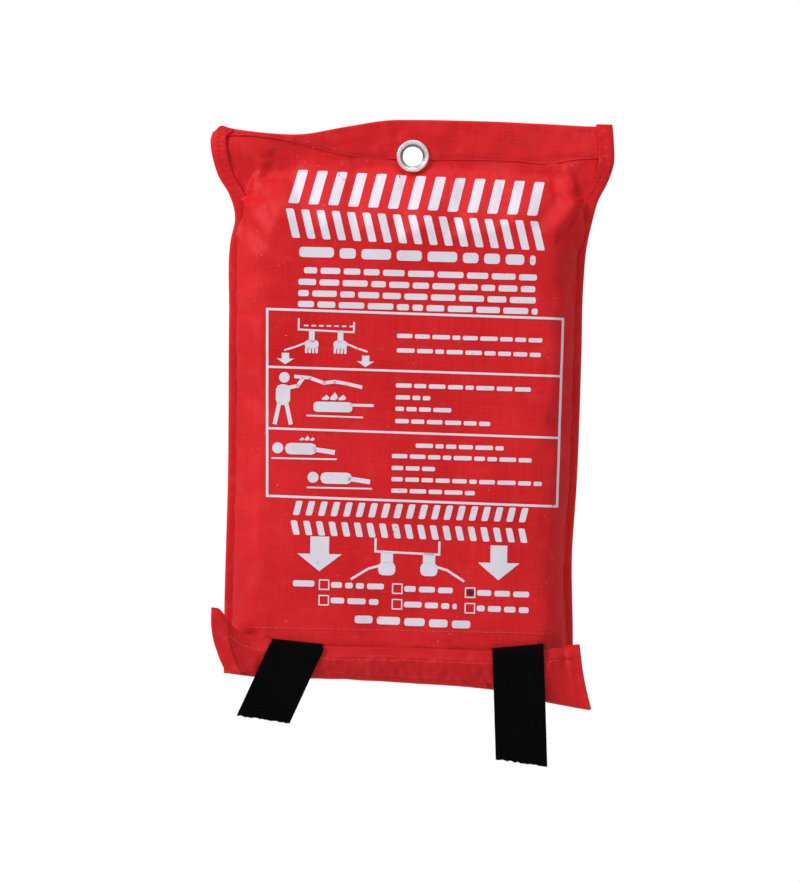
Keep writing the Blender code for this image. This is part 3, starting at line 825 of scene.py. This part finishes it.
def lip_point(u, s):
    """A point of the lip. u runs from the left end, 0, to the right, and s from the fold, 0, to the top."""
    left, right = (1 - u) ** 10, u ** 14
    x = mix(mix(-84.8, 92.0, u), mix(-92.7, 85.6, u), s)
    x = x - 2.6 * np.sin(math.pi * np.clip(s, 0, 1)) * left - 0.9 * np.sin(math.pi * s) * right
    z = mix(FRONT_FOLD(x), LIP_TOP(x), s)
    curl = step(-70, -95, x) * step(0.25, 1.0, s)
    droop = step(74, 94, x) * step(0.8, 0.0, s)
    strip = step(HOOK_HALF + 3, HOOK_HALF - 2, np.abs(x + 1)) * step(0.0, 0.16, s) * step(0.80, 0.66, s)
    height = LIP_TOP(x) - FRONT_FOLD(x)
    below = (1 - s) * height
    hem = np.exp(-(((below - HEM_DEPTH) / 0.5) ** 2))
    roof = 1.5 * step(HEM_DEPTH, 0.0, below) + 2.3 * step(HEM_DEPTH, height, below)
    y = LIP_Y - 0.5 * strip - 5.0 * curl - 1.8 * droop - 1.7 + roof + 0.4 * hem
    y = y - 0.3 * np.abs(waves(x, z * 1.4, 19, 61)) - 0.3 * waves(x * 1.6, z, 8, 62) * strip
    crumple = step(68, 72, x) * step(84, 80, x) * step(0.45, 0.8, s)
    y = y - 0.8 * crumple * np.sin((x * 0.8 + z) * 2.0) ** 2
    for shape in LIP_FOLDS:
        y = y - fold(x, z, *shape)
    edge = step(0.94, 1.0, s)
    return x, y + 0.3 * edge, z


def flap_profile(u):
    """The whole flap's cloth at one column: back panel, back fold, base, front fold, lip."""
    x0, _, _ = lip_point(u, 0.0)
    back, fore = float(BACK_FOLD(x0)), float(FRONT_FOLD(x0))
    points = []
    for z in np.linspace(-250, back + 2.6, 9):
        points.append((x0 * 0.965, BACK_Y - 0.75 * float(step(-258.2, -256.4, z)), z))
    for a in np.linspace(0, math.pi / 2, 8)[1:]:
        points.append((x0 * 0.975, BACK_Y - 2.2 * (1 - math.cos(a)), back + 2.6 - 2.6 * math.sin(a)))
    lip_y = float(lip_point(u, 0.12)[1])
    under = np.linspace(BACK_Y - 2.2, lip_y + 2.4, 22)
    for y in under[1:]:
        t = (y - under[0]) / (under[-1] - under[0])
        sag = -0.5 * math.sin(math.pi * t) + 0.3 * float(waves(x0, y, 16, 71)) * math.sin(math.pi * t)
        points.append((x0 * mix(0.975, 1.0, t), y, mix(back, fore + 0.2, float(step(0, 1, t))) + sag * 0.5))
    for a in np.linspace(0, math.pi / 2, 7)[1:]:
        points.append((x0, lip_y + 2.4 - 2.4 * math.sin(a), fore + 0.2 + 2.3 * (1 - math.cos(a))))
    points += [tuple(float(value) for value in lip_point(u, s)) for s in np.linspace(0.13, 1.0, 26)]
    return points


def flap_cloth():
    """The flap's cloth in two pieces, the rear piece and the lip's, split on its base."""
    grid = np.array([flap_profile(float(u)) for u in FLAP_COLUMNS]).transpose(1, 0, 2)
    split = int(np.argmin(np.abs(grid[15:39, 80, 1] - SPLIT_Y))) + 15
    # Both of the flap's pieces take its darker red, which is painted shade.
    rear = sheet_mesh("flap_rear_cloth", grid[:split + 1], FLAP_SHADED_RED)
    start = Vector((0, BACK_Y, FOLD_Z + 2.5))
    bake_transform(rear)
    lip = sheet_mesh("flap_lip_cloth", grid[split:], FLAP_SHADED_RED)
    start = Vector((0, LIP_Y + 3.4, FRONT_FOLD(0)))
    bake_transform(lip)
    for piece, node, size in ((rear, "base", (0.180, 0.021)), (lip, "lip", (0.182, 0.034))):
        declare(piece, None, "red_cloth", "closure_flap_" + node)
    return lip


def lip_line(first, last, depth, count=90):
    """A course along the lip, depth mm below its top edge, or above its fold where depth is below 0."""
    course = []
    for u in np.linspace(first, last, count):
        x, _, z = lip_point(u, 1.0 if depth > 0 else 0.0)
        height = float(LIP_TOP(x) - FRONT_FOLD(x))
        s = 1 - depth / height if depth > 0 else -depth / height
        x, _, z = lip_point(u, s)
        course.append((float(x), float(z)))
    return course


def flap_binding(name, side):
    """Tape folded round one end of the flap, from its fold up to its top edge."""
    rows, reach, off = [], 0.040, 0.62
    for s in np.linspace(0.02, 1.02, 40):
        section = []
        for t in np.linspace(0, 1, 9):
            u = reach * (1 - t) if side < 0 else 1 - reach * (1 - t)
            x, y, z = (float(value) for value in lip_point(u, s))
            section.append((x, y - off, z))
        bend = [(x + side * 0.55 * math.sin(a), y - off * math.cos(a), z)
                for a in np.linspace(0.4, math.pi - 0.4, 5)]
        rows.append(section + bend + [(px, py + 2 * off, pz) for px, py, pz in section[::-1]])
    points = np.array(rows)
    x, z = points[..., 0], points[..., 2]
    points[..., 1] -= 0.12 * np.sin(z * 1.9 + x) * (points[..., 1] < LIP_Y)
    piece = sheet_mesh("flap_" + name + "_binding_tape", points, RED_TAPE, 0.45)
    declare(piece, "flap_lip", "red_binding", "flap_" + name + "_binding")


def strip(name, half, bottom, top, face_y, material, body, node, seed):
    """A hook or loop strip: a thin slab whose pile makes its face uneven."""
    x = np.linspace(-1, 1, 190) * half
    grid = []
    for t in np.linspace(0, 1, 26):
        z = mix(bottom(x), top(x), t)
        rim = step(0.0, 0.06, t) * step(1.0, 0.94, t)
        y = face_y - 0.22 * rim * (0.6 + waves(x * 4, z * 4, 5.5, seed))
        grid.append(np.stack([x, y, z + 0.15 * waves(x, z, 3.0, seed + 1) * (t > 0.9)], axis=1))
    piece = sheet_mesh(name, np.array(grid), material, 0.7)
    declare(piece, body, "red_pile", node)
    return piece


# ---- pull tapes
# side: the leg's length in mm, its lean from plumb, and the slopes of the fold and of the cut end
TAPES = {
    "left": (39.2, math.radians(-23.6), math.radians(-4.8), math.radians(-7.2)),
    "right": (54.6, math.radians(3.0), math.radians(6.0), math.radians(-7.0)),
}


def tape_row(centre, slope, lean, cup=0.0):
    """One row across the webbing: its ends follow the slope, and its width stays that of the tape."""
    reach = WEBBING_HALF / math.cos(slope - lean)
    share = np.linspace(-1, 1, 33)
    x = centre[0] + share * reach * math.cos(slope)
    z = centre[2] + share * reach * math.sin(slope)
    return np.stack([x, centre[1] + cup * (share ** 2 - 0.3), z], axis=1)


def anchor_rows(x, y, top, turn, half_up):
    """Down the blanket's front from where the tape is sewn on, round the turn and half way up again."""
    rows = [tape_row((x, y, z), 0, 0) for z in np.linspace(top, turn.z + 2.0, 56)]
    half = (y - turn.y) / 2
    for a in np.linspace(0, math.pi, 12)[1:]:
        rows.append(tape_row((x, y - half + half * math.cos(a), turn.z + 2.0 - 2.3 * math.sin(a)), 0, 0))
    return rows + [tape_row((x, turn.y, z), 0, 0) for z in np.linspace(turn.z + 2.0, half_up, 10)[1:]]


def pull_tape(side):
    """One length of webbing in three pieces that meet halfway along its rigid links."""
    length, lean, fold_slope, cut_slope = TAPES[side]
    turn, over, lift = (pivot(f"{side}_tape_{joint}") for joint in ("turn", "unfold", "lift"))
    x, sewn_top = turn.x, high(f"{side}_tape_anchor").z
    anchor_y = high(f"{side}_tape_anchor").y - WEBBING / 2
    half_up, crest_z = (turn.z + over.z) / 2, over.z - 1.4
    radius = (over.y - lift.y) / 2
    arc = [(over.y - radius + radius * math.cos(a), crest_z + 1.75 * math.sin(a))
           for a in np.linspace(0, math.pi, 15)[1:]]

    riser = []
    for z in np.linspace(half_up, crest_z, 10):
        riser.append(tape_row((x, over.y, z), fold_slope * float(step(half_up, crest_z, z)), 0))
    riser += [tape_row((x, y, z), fold_slope, 0) for y, z in arc[:7]]

    leg = [tape_row((x, *arc[6]), fold_slope, 0)]
    for i, (y, z) in enumerate(arc[7:]):
        leg.append(tape_row((x, y - 0.1 * i, z), fold_slope, lean * (i + 1) / 9))
    for run in np.linspace(0, length, 62)[1:]:
        t = run / length
        y = lift.y - 0.8 - 0.5 * math.sin(math.pi * t) + 1.1 * t * t
        centre = (x + run * math.sin(lean), y, crest_z - run * math.cos(lean))
        slope = mix(fold_slope, cut_slope, float(step(0.0, 0.75, t)))
        leg.append(tape_row(centre, slope, lean, 0.35 * math.sin(3 * t + x)))
    leg = np.array(leg)
    random = np.random.default_rng(len(side))
    leg[-1, :, 2] += np.convolve(random.normal(0, 0.3, leg.shape[1]), np.ones(2) / 2, "same")

    # name, rows, the two bodies it runs between, a start and a stop point on it, the nodes it replaces
    stretches = (
        ("anchor", np.array(anchor_rows(x, anchor_y, sewn_top, turn, half_up)), "blanket", f"{side}_riser",
         (x, anchor_y - 0.9, turn.z), (x, turn.y + 0.5, turn.z), ("anchor",)),
        ("riser", np.array(riser), f"{side}_riser", f"{side}_fold",
         (x, over.y, over.z - 4.6), (x, over.y - radius, over.z + 0.2), ("riser", "fold")),
        ("leg", leg, f"{side}_fold", f"{side}_leg",
         (x, over.y - radius, over.z), (x, lift.y - 0.3, over.z - 3.5), ("leg",)),
    )
    for name, grid, first, second, start, stop, nodes in stretches:
        piece = sheet_mesh(f"{side}_tape_{name}_webbing", grid, WEB, WEBBING - 0.1)
        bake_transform(piece)
        declare(piece, None, "black_webbing", *[f"{side}_tape_{node}" for node in nodes])
    fray(side, leg)
    anchor = bpy.data.objects[f"{side}_tape_anchor_webbing"]
    box = [(x - 9.5, sewn_top - 3), (x + 9.5, sewn_top - 3), (x + 9.5, -240), (x - 9.5, -240)]
    course = box + [box[0], box[2], box[1], box[3]]
    sewn = stitch_row(f"{side}_tape_box_stitches", surface_of(anchor), course, BLACK_THREAD, 2.2, 2.8)
    declare(sewn, "blanket", "black_thread", f"{side}_tape_stitching")


def fray(side, leg):
    """Loose yarn ends at the cut, each a bent four-sided spike."""
    random = np.random.default_rng(40 + len(side))
    corners = [Vector((math.cos(a), math.sin(a), 0)) for a in (0.5, 2.1, 3.7, 5.2)]
    points, faces = [], []
    for _ in range(46):
        share = random.uniform(0, leg.shape[1] - 1.001)
        i = int(share)
        cut = Vector(mix(leg[-1, i], leg[-1, i + 1], share - i))
        root = cut + Vector((0, random.uniform(-0.4, 0.4), 0.5))
        tip = root + Vector((random.normal(0, 0.3), random.normal(0, 0.35), -random.uniform(0.3, 0.9)))
        bend = mix(root, tip, 0.6) + Vector((random.normal(0, 0.1), 0, 0))
        first = len(points)
        for centre, radius in ((root, 0.13), (bend, 0.1), (tip, 0.05)):
            points += [centre + radius * corner for corner in corners]
        for a in (first, first + 4):
            for j in range(4):
                k = (j + 1) % 4
                faces.append((a + j, a + k, a + k + 4, a + j + 4))
        faces += [[first + j for j in (3, 2, 1, 0)], [first + 8 + j for j in range(4)]]
    piece = make_mesh(f"{side}_tape_frayed_yarns", np.array(points) * MM, faces, BLACK_THREAD)
    declare(piece, f"{side}_leg", "black_webbing")


# ---- the folded blanket
# How far the pack sits to the left of the middle
PACK_SHIFT = -1.2
# The open flap hangs behind the blanket, so the pack's back leaves it this much room
FLAP_ROOM = 5.4
BUNDLES = 11


def ease(count):
    """From -1 to 1, closer together towards both ends."""
    even = np.linspace(-1, 1, count)
    return np.sin(even * math.pi / 2) * 0.6 + even * 0.4


def leaf(half_x, bottom, top, y, thick, seed):
    """One bundle of folded cloth: flat, with full round folds at its edges."""
    x, t = np.meshgrid(ease(56), ease(66))
    rounding = np.sqrt(np.clip(1 - np.abs(x) ** 40, 0, 1)) * np.sqrt(np.clip(1 - np.abs(t) ** 56, 0, 1))
    world_x = x * half_x
    world_z = mix(bottom, top, (t + 1) / 2) + 0.5 * waves(world_x, t * 9, 40, seed) * (np.abs(t) > 0.9)
    swell = 0.12 * waves(world_x, world_z, 38, seed + 1)
    half = thick / 2 * rounding
    sides = [np.stack([world_x, y + side * half + swell * rounding, world_z], axis=2) for side in (-1, 1)]
    uv = np.stack([world_x, world_z], axis=2).reshape(-1, 2) * MM
    points = np.concatenate([grid.reshape(-1, 3) for grid in sides])
    return points, shell_faces(*x.shape, flip=True), np.concatenate([uv, uv])


def folded_blanket():
    """Bundles of glass cloth folded on each other, pressed a little thinner at the pouch's sides."""
    random = np.random.default_rng(12)
    depth = (PACK_HIGH.y - FLAP_ROOM - PACK_LOW.y) / BUNDLES
    points, faces, uv = [], [], []
    for k in range(BUNDLES):
        y = PACK_LOW.y + depth * (k + 0.5)
        inward = 5.0 * abs((k + 0.5) / BUNDLES * 2 - 1) ** 4
        half = PACK_HIGH.x - 1.8 - inward - random.uniform(0.0, 0.8)
        bottom = PACK_LOW.z + inward * 0.25 + random.uniform(0.0, 0.9)
        top = PACK_HIGH.z - inward * 0.4 - random.uniform(0.0, 1.2)
        more, sides, threads = leaf(half, bottom, top, y, depth * 1.02, 100 + 3 * k)
        faces += [[i + len(points) for i in face] for face in sides]
        points += (more + (PACK_SHIFT, 0, 0)).tolist()
        uv += threads.tolist()
    piece = make_mesh("folded_glass_blanket", np.array(points) * MM, faces, GLASS, np.array(uv), 60)
    declare(piece, "blanket", "glass_cloth", "folded_blanket")
    course = [(x, PACK_LOW.z + 8) for x in (-70, 70)]
    hem = stitch_row("blanket_hem_stitches", surface_of(piece), course, CREAM_THREAD, 3.0, 3.8)
    declare(hem, "blanket", "glass_cloth")


# ---- seams
# How far inside a binding's outer edge its seam runs, and how far above the facing's end the header's does
SIDE_SEAM_IN = 5.4
HEADER_SEAM_UP = 1.7
HEM_STITCH = 2.7


def sew(name, surface, course, nodes=(), body="pouch", thread=None, **more):
    """A row of red stitches, which replaces the given seam nodes."""
    piece = stitch_row(name, surface, course, thread or RED_THREAD, **more)
    declare(piece, body, "red_thread", *nodes)


def seams(front, back, tapes, lip):
    header = surface_of(front, back)
    for name, first, last in (("left", -91.0, -EYELET_R - 1), ("right", EYELET_R + 1, 90.5)):
        course = [(x, float(FACING_END(x)) + HEADER_SEAM_UP) for x in np.linspace(first, last, 40)]
        sew("header_stitches_" + name, header, course, ["header_seam_" + name])
    for name, side in SIDES:
        surface = surface_of(tapes[name])
        heights = np.linspace(float(TOP_FOLD(side * 94)) - 1.5, -256, 120)
        course = [(side * (float(signed_edge(side, z)) - SIDE_SEAM_IN), z) for z in heights]
        sew(name + "_side_stitches", surface, course, [name + "_side_seam"])
        sew(name + "_side_stitches_back", surface, course, side=1)
    course = [(x, MOUTH + 20.6) for x in np.linspace(-76, 74, 60)]
    sew("mouth_hem_stitches", surface_of(front), course, thread=PALE_THREAD, length=HEM_STITCH)
    lip_face = surface_of(lip)
    sew("flap_hem_stitches", lip_face, lip_line(0.03, 0.955, HEM_DEPTH), ["flap_hem_seam"], "flap_lip",
        PALE_THREAD, length=HEM_STITCH)
    sew("flap_strip_stitches", lip_face, lip_line(0.07, 0.93, -3.4), body="flap_lip")




# ---- the print: plain bars, arrows and pictures
def bar(left, right, bottom, top, lean=0.0, corner=0.5):
    """A bar with rounded corners; lean shifts its top edge to the right."""
    outline = []
    for x, z, first in ((right, top, 0), (left, top, 90), (left, bottom, 180), (right, bottom, 270)):
        inward_x, inward_z = (corner if x == left else -corner), (corner if z == bottom else -corner)
        for turn in (0, 45, 90):
            a = math.radians(first + turn)
            px, pz = x + inward_x + corner * math.cos(a), z + inward_z + corner * math.sin(a)
            outline.append((px + lean * (pz - bottom) / (top - bottom), pz))
    return outline


def stroke(points, width):
    """A line of even width, as one flat piece for each straight run."""
    pieces = []
    for (ax, az), (bx, bz) in zip(points, points[1:]):
        long = math.hypot(bx - ax, bz - az)
        dx, dz = (bx - ax) / long * width / 2, (bz - az) / long * width / 2
        over_x, over_z = dx * 0.8, dz * 0.8
        pieces.append([(ax - over_x + dz, az - over_z - dx), (bx + over_x + dz, bz + over_z - dx),
                       (bx + over_x - dz, bz + over_z + dx), (ax - over_x - dz, az - over_z + dx)])
    return pieces


def disc(x, z, radius, squash=1.0, sides=18):
    angles = [2 * math.pi * i / sides for i in range(sides)]
    return [(x + radius * math.cos(a), z + radius * squash * math.sin(a)) for a in angles]


def arrow(x, top, bottom, half, shaft):
    """A broad arrow that points down."""
    neck = mix(bottom, top, 0.5)
    return [(x - shaft, top), (x - shaft, neck), (x - half, neck), (x, bottom),
            (x + half, neck), (x + shaft, neck), (x + shaft, top)]


def word_bars(left, right, z, height, tilt, seed, longest=13.0):
    """A line of dashes of uneven length, with gaps, in place of words. Its tilt is a ratio."""
    random = np.random.default_rng(seed)
    shapes, x = [], left
    while x < right - 2:
        end = min(right, x + random.uniform(0.4, 1.0) * longest)
        drop = tilt * (x - left)
        shapes.append(bar(x, end, z + drop - height / 2, z + drop + height / 2, 0.0, height * 0.3))
        x = end + height * 0.55
    return shapes


def block_row(left, right, z, height, tilt, count, lean, fill=0.62):
    """A bold row of leaning blocks."""
    pitch = (right - left + (1 - fill) * (right - left) / count) / count
    shapes = []
    for i in range(count):
        x = left + i * pitch
        drop = tilt * (x - left)
        shapes.append(bar(x, x + pitch * fill, z + drop - height / 2, z + drop + height / 2, lean, 0.7))
    return shapes


def frame_lines():
    """The box round the three pictures, and the lines between them."""
    corners = [(-69.6, -77.8), (75.2, -79.6), (74.2, -171.3), (-67.7, -169.0), (-69.6, -77.8)]
    dividers = ([(-69.0, -106.0), (74.9, -107.6)], [(-68.4, -136.0), (74.6, -137.8)])
    return stroke(corners, 1.2) + [piece for line in dividers for piece in stroke(line, 1.1)]


def flames(x, z, size):
    """Three plain flame shapes side by side."""
    shapes = []
    for shift, tall in ((-0.75, 0.75), (0.0, 1.15), (0.75, 0.8)):
        sides = {}
        for edge in (1, -1):
            sides[edge] = []
            for t in np.linspace(0, 1, 9):
                half = 0.36 * math.sin(math.pi * min(1.0, t * 1.35 + 0.22)) * (1 - t) ** 0.35
                across = size * (shift + edge * half + 0.16 * math.sin(3 * t))
                sides[edge].append((x + across, z + size * tall * t))
        shapes.append(sides[1] + sides[-1][-2::-1])
    return shapes


def pictures():
    """Pull the tapes; lay the blanket over a pan; wrap whoever lies down."""
    shapes = stroke([(-54, -82.3), (-54, -87.5), (-27, -88.3), (-27, -83.6)], 0.9)
    shapes += [bar(x, x + 2.3, -85.9, -85.1, 0, 0.3) for x in np.arange(-51.5, -29, 3.7)]
    for x in (-47.5, -33.5):
        shapes.append(bar(x - 1.4, x + 1.4, -93.5, -87.6, 0, 0.3))
        shapes.append(bar(x - 3.4, x + 3.4, -96.6, -92.6, 0, 1.5))
        shapes += [bar(x - 3.2 + 1.7 * i, x - 2.0 + 1.7 * i, -99.0, -95.9, 0, 0.5) for i in range(4)]
    for x, out in ((-47.5, -1), (-33.5, 1)):
        shapes += stroke([(x + out * 2.6, -93.8), (x + out * 8.5, -96.2), (x + out * 13, -97.6)], 0.9)
    shapes += [arrow(-60.2, -99.0, -104.6, 4.2, 1.8), arrow(-21.0, -99.6, -105.2, 4.2, 1.8)]

    shapes += [bar(-46, -27, -127.5, -122.5, 0, 1.6), bar(-28, -16.5, -124.6, -123.2, 0, 0.6)]
    shapes += flames(-36.5, -121.6, 5.4)
    cloth = [(-55, -110.5), (-48, -111.0), (-41, -113.4), (-36, -112.6), (-30, -113.5), (-23, -115)]
    shapes += stroke(cloth, 1.7)
    shapes += [disc(-60.5, -111.0, 2.6), bar(-64.5, -57.5, -124.5, -114.4, 0, 2.6)]
    shapes += stroke([(-60.5, -116.5), (-54, -115.0), (-51.5, -111.5)], 1.8)
    shapes += stroke([(-62.8, -124), (-64.6, -133.2)], 2.0) + stroke([(-59.2, -124), (-57.0, -133.2)], 2.0)
    shapes += stroke([(-49, -129.4), (-22, -129.8)], 0.8)

    for x, z in ((-63, -145.5), (-45.5, -159.5)):
        shapes += [disc(x, z, 2.7), bar(x + 3.6, x + 19, z - 3.0, z + 2.6, 0, 2.4)]
        shapes += stroke([(x + 18, z - 0.4), (x + 27, z - 1.6)], 2.3)
        shapes += [bar(x - 3, x + 29, z - 5.4, z - 4.6, 0, 0.3)]
    shapes += flames(-49, -141.6, 3.4)
    return shapes


def foot_picture():
    """The pouch's lower edge with its two tapes."""
    shapes = stroke([(-14.3, -189.0), (-14.3, -195.0), (16.9, -196.0), (16.9, -190.0)], 1.1)
    for x, out in ((-8.6, -1), (12.0, 1)):
        shapes.append(bar(x - 3.0, x + 3.0, -200.5, -195.4, 0, 0.3))
        shapes.append(bar(x - 4.2, x + 4.2, -206.6, -200.2, 0, 2.2))
        shapes += stroke([(x + out * 3, -201.8), (x + out * 9, -203.6), (x + out * 17, -208.6)], 1.2)
    return shapes


def size_boxes():
    """Two rows of three tick boxes, each with its dash; one is ticked."""
    shapes, ticks = [], []
    for row, z in enumerate((-211.8, -219.4)):
        for column, x in enumerate((-41.3, -5.5, 30.1)):
            middle = z - 0.034 * (x + 41.3)
            high_z, low_z = middle + 2.3, middle - 2.3
            square = [(x, high_z), (x + 4.6, high_z), (x + 4.6, low_z), (x, low_z)]
            shapes += stroke(square + square[:1], 0.6)
            shapes += word_bars(x + 5.7, x + 31.5, middle, 2.8, -0.020, 60 + 3 * row + column, 9.0)
            if (row, column) == (0, 2):
                ticks.append(disc(x + 2.4, middle, 1.6, 0.9))
    shapes += word_bars(-54.2, -43.0, -211.4, 3.0, -0.02, 77, 12.0)
    return shapes, ticks


# The film of ink is printed in cells this wide, which follow the cloth, and is this thick in metres
INK_CELL = 1.2
INK_FILM = 0.00006


def ink(name, shapes, cloth, material=INK, slot="white_ink", lift=0.17):
    """Prints flat outlines on the cloth: they are cut into small cells, which follow its relief."""
    bm = bmesh.new()
    for outline in shapes:
        bm.faces.new([bm.verts.new((x, 0.0, z)) for x, z in outline])
    bm.normal_update()
    bmesh.ops.triangulate(bm, faces=bm.faces)
    xs, zs = ([v.co[k] for v in bm.verts] for k in (0, 2))
    for values, axis in ((xs, (1, 0, 0)), (zs, (0, 0, 1))):
        for at in np.arange(min(values) + INK_CELL / 2, max(values), INK_CELL):
            cut = dict(geom=bm.verts[:] + bm.edges[:] + bm.faces[:], dist=0.0001)
            bmesh.ops.bisect_plane(bm, plane_co=[at * k for k in axis], plane_no=axis, **cut)
    for vert in bm.verts:
        found = lay_on(cloth, vert.co.x, vert.co.z, lift)
        vert.co = (found if found else vert.co) * MM
    bmesh.ops.recalc_face_normals(bm, faces=bm.faces)
    for face in bm.faces:
        face.smooth = True
    bmesh.ops.reverse_faces(bm, faces=[face for face in bm.faces if face.normal.y > 0])
    for edge in bm.edges:
        edge.smooth = not edge.is_boundary
    mesh = bpy.data.meshes.new(name)
    bm.to_mesh(mesh)
    bm.free()
    mesh.materials.append(material)
    piece = bpy.data.objects.new(name, mesh)
    bpy.context.scene.collection.objects.link(piece)
    film = piece.modifiers.new("film", "SOLIDIFY")
    film.thickness, film.offset = INK_FILM, -1.0
    declare(piece, "pouch", slot)


# Each line of the notes beside the pictures: its left end, right end and height
NOTES = (
    (-5.9, 65.1, -89.6), (-5.9, 67.5, -96.7), (-6.0, 60.8, -113.8), (-6.0, 14.0, -119.6),
    (-6.0, 22.7, -125.2), (-6.0, 40.5, -131.2), (4.3, 50.2, -143.0), (-7.2, 62.2, -148.3),
    (-7.2, 14.0, -154.1), (-7.2, 68.5, -159.6), (-7.2, 34.2, -165.2),
)


def front_print(front):
    cloth = surface_of(front)
    heading = block_row(-60.5, 61.5, -16.8, 17.6, -0.032, 13, 4.0, 0.52)
    heading += block_row(-58, 65.5, -35.6, 14.4, -0.031, 17, -3.6, 0.52)
    ink("print_heading_blocks", heading, cloth)
    lines = word_bars(-54.5, 61, -49.6, 5.0, -0.016, 31, 18.0)
    for i, z in enumerate((-58.5, -64.2, -69.7, -75.0)):
        lines += word_bars(-54.6 + (2.6 if i == 0 else 0), 62.5, z, 3.0, -0.012, 32 + i, 13.0)
    ink("print_small_lines", lines, cloth)
    ink("print_picture_frame", frame_lines(), cloth)
    ink("print_pictures", pictures(), cloth)
    notes = []
    for i, (left, right, z) in enumerate(NOTES):
        notes += word_bars(left, right, z, 2.1, -0.012, 40 + i, 9.0)
    ink("print_notes", notes, cloth)
    bold = block_row(-55.0, 58.6, -174.6, 7.0, -0.011, 19, 1.6, 0.52)
    bold += block_row(-54.5, 60.0, -184.2, 7.0, -0.015, 19, -1.6, 0.52)
    ink("print_bold_lines", bold, cloth)
    arrows = [arrow(-41.5, -188.3, -205.3, 10.8, 4.6), arrow(46.0, -190.9, -207.9, 10.2, 4.1)]
    ink("print_arrows", arrows + foot_picture(), cloth)
    boxes, ticks = size_boxes()
    ink("print_size_boxes", boxes + word_bars(-23.7, 32.8, -228.4, 3.8, -0.030, 90, 14.0), cloth)
    ink("print_tick", ticks, cloth, BLACK_INK, "black_ink", 0.19)


# ---- stage
CAMERA_DISTANCE = 1.6
CAMERA_LENS = 132.0
CAMERA_X, CAMERA_Z = -0.0034, -0.1409
CAMERA_ROLL = math.radians(-1.2)
FLOOR_Z = -0.60
LIGHT_AIM = (0, 0, -0.13)
SURROUND = 0.30
# name, place, size across, watts
LIGHTS = (
    ("key", (-1.3, -0.9, 0.9), 0.55, 22.0),
    ("fill", (1.1, -1.5, 0.1), 1.2, 3.0),
    ("top", (0.1, -0.4, 1.2), 0.9, 6.0),
    ("behind", (0.0, 1.5, 0.4), 1.5, 10.0),
)


def studio():
    """Pale floor, a white surround and large soft lights; the camera looks level at the pouch."""
    data = bpy.data.cameras.new("camera")
    data.lens, data.sensor_width = CAMERA_LENS, 36.0
    data.clip_end = 20.0
    camera = bpy.data.objects.new("camera", data)
    bpy.context.scene.collection.objects.link(camera)
    camera.location = (CAMERA_X, -CAMERA_DISTANCE, CAMERA_Z)
    camera.rotation_euler = (math.pi / 2, CAMERA_ROLL, 0.0)
    bpy.context.scene.camera = camera

    bpy.ops.mesh.primitive_circle_add(vertices=96, radius=1.5, fill_type="NGON", location=(0, 0, FLOOR_Z))
    floor = bpy.context.object
    floor.name = "floor"
    paint = Nodes("pale_floor")
    paint.put(paint.shader.inputs["Base Color"], (0.86, 0.86, 0.86, 1))
    paint.put(paint.shader.inputs["Roughness"], 0.8)
    floor.data.materials.append(paint.material)

    for name, place, size, power in LIGHTS:
        lamp = bpy.data.lights.new(name, "AREA")
        lamp.energy, lamp.size = power, size
        light = bpy.data.objects.new(name, lamp)
        light.location = place
        light.rotation_euler = (Vector(LIGHT_AIM) - Vector(place)).to_track_quat("-Z", "Y").to_euler()
        bpy.context.scene.collection.objects.link(light)

    world = bpy.data.worlds.new("surround")
    bpy.context.scene.world = world
    world.use_nodes = True
    tree = world.node_tree
    seen, lit = tree.nodes["Background"], tree.nodes.new("ShaderNodeBackground")
    for node, strength in ((seen, 1.0), (lit, SURROUND)):
        node.inputs["Color"].default_value = (1, 1, 1, 1)
        node.inputs["Strength"].default_value = strength
    path, choose = tree.nodes.new("ShaderNodeLightPath"), tree.nodes.new("ShaderNodeMixShader")
    tree.links.new(path.outputs["Is Camera Ray"], choose.inputs[0])
    tree.links.new(lit.outputs[0], choose.inputs[1])
    tree.links.new(seen.outputs[0], choose.inputs[2])
    tree.links.new(choose.outputs[0], tree.nodes["World Output"].inputs["Surface"])
    bpy.context.scene.view_settings.view_transform = "Standard"


def loop_top(x):
    """Height of the loop strip's top edge, which sags at the left."""
    return -238.2 + 1.4 * step(-60, -20, x)


def closure_strips():
    """The hook-and-loop closure: the loop strip with its stitches, and the hook strip inside the lip."""
    loop = strip("loop_pile_strip", LOOP_HALF - 2.2, lambda x: LOOP_BOTTOM + 0 * x, loop_top,
                 LOOP_FRONT + 0.55, LOOP_PILE, "pouch", "loop_strip", 81)
    course = [(x, float(loop_top(x)) - 1.0) for x in np.linspace(-70, 70, 30)]
    sew("loop_strip_stitches", surface_of(loop), course, ["loop_strip_seam"])
    strip("hook_pile_strip", HOOK_HALF, lambda x: FRONT_FOLD(x) + 3.5,
          lambda x: LIP_TOP(x) - HEM_DEPTH - 0.4, LIP_Y + 1.1, HOOK_PILE, "flap_lip", "hook_strip", 91)


studio()
front = front_cloth()
back = back_cloth()
bindings = {name: side_binding(name, side) for name, side in SIDES}
eyelet()
lip = flap_cloth()
for name, side in SIDES:
    flap_binding(name, side)
    pull_tape(name)
closure_strips()
folded_blanket()
seams(front, back, bindings, lip)
front_print(front)
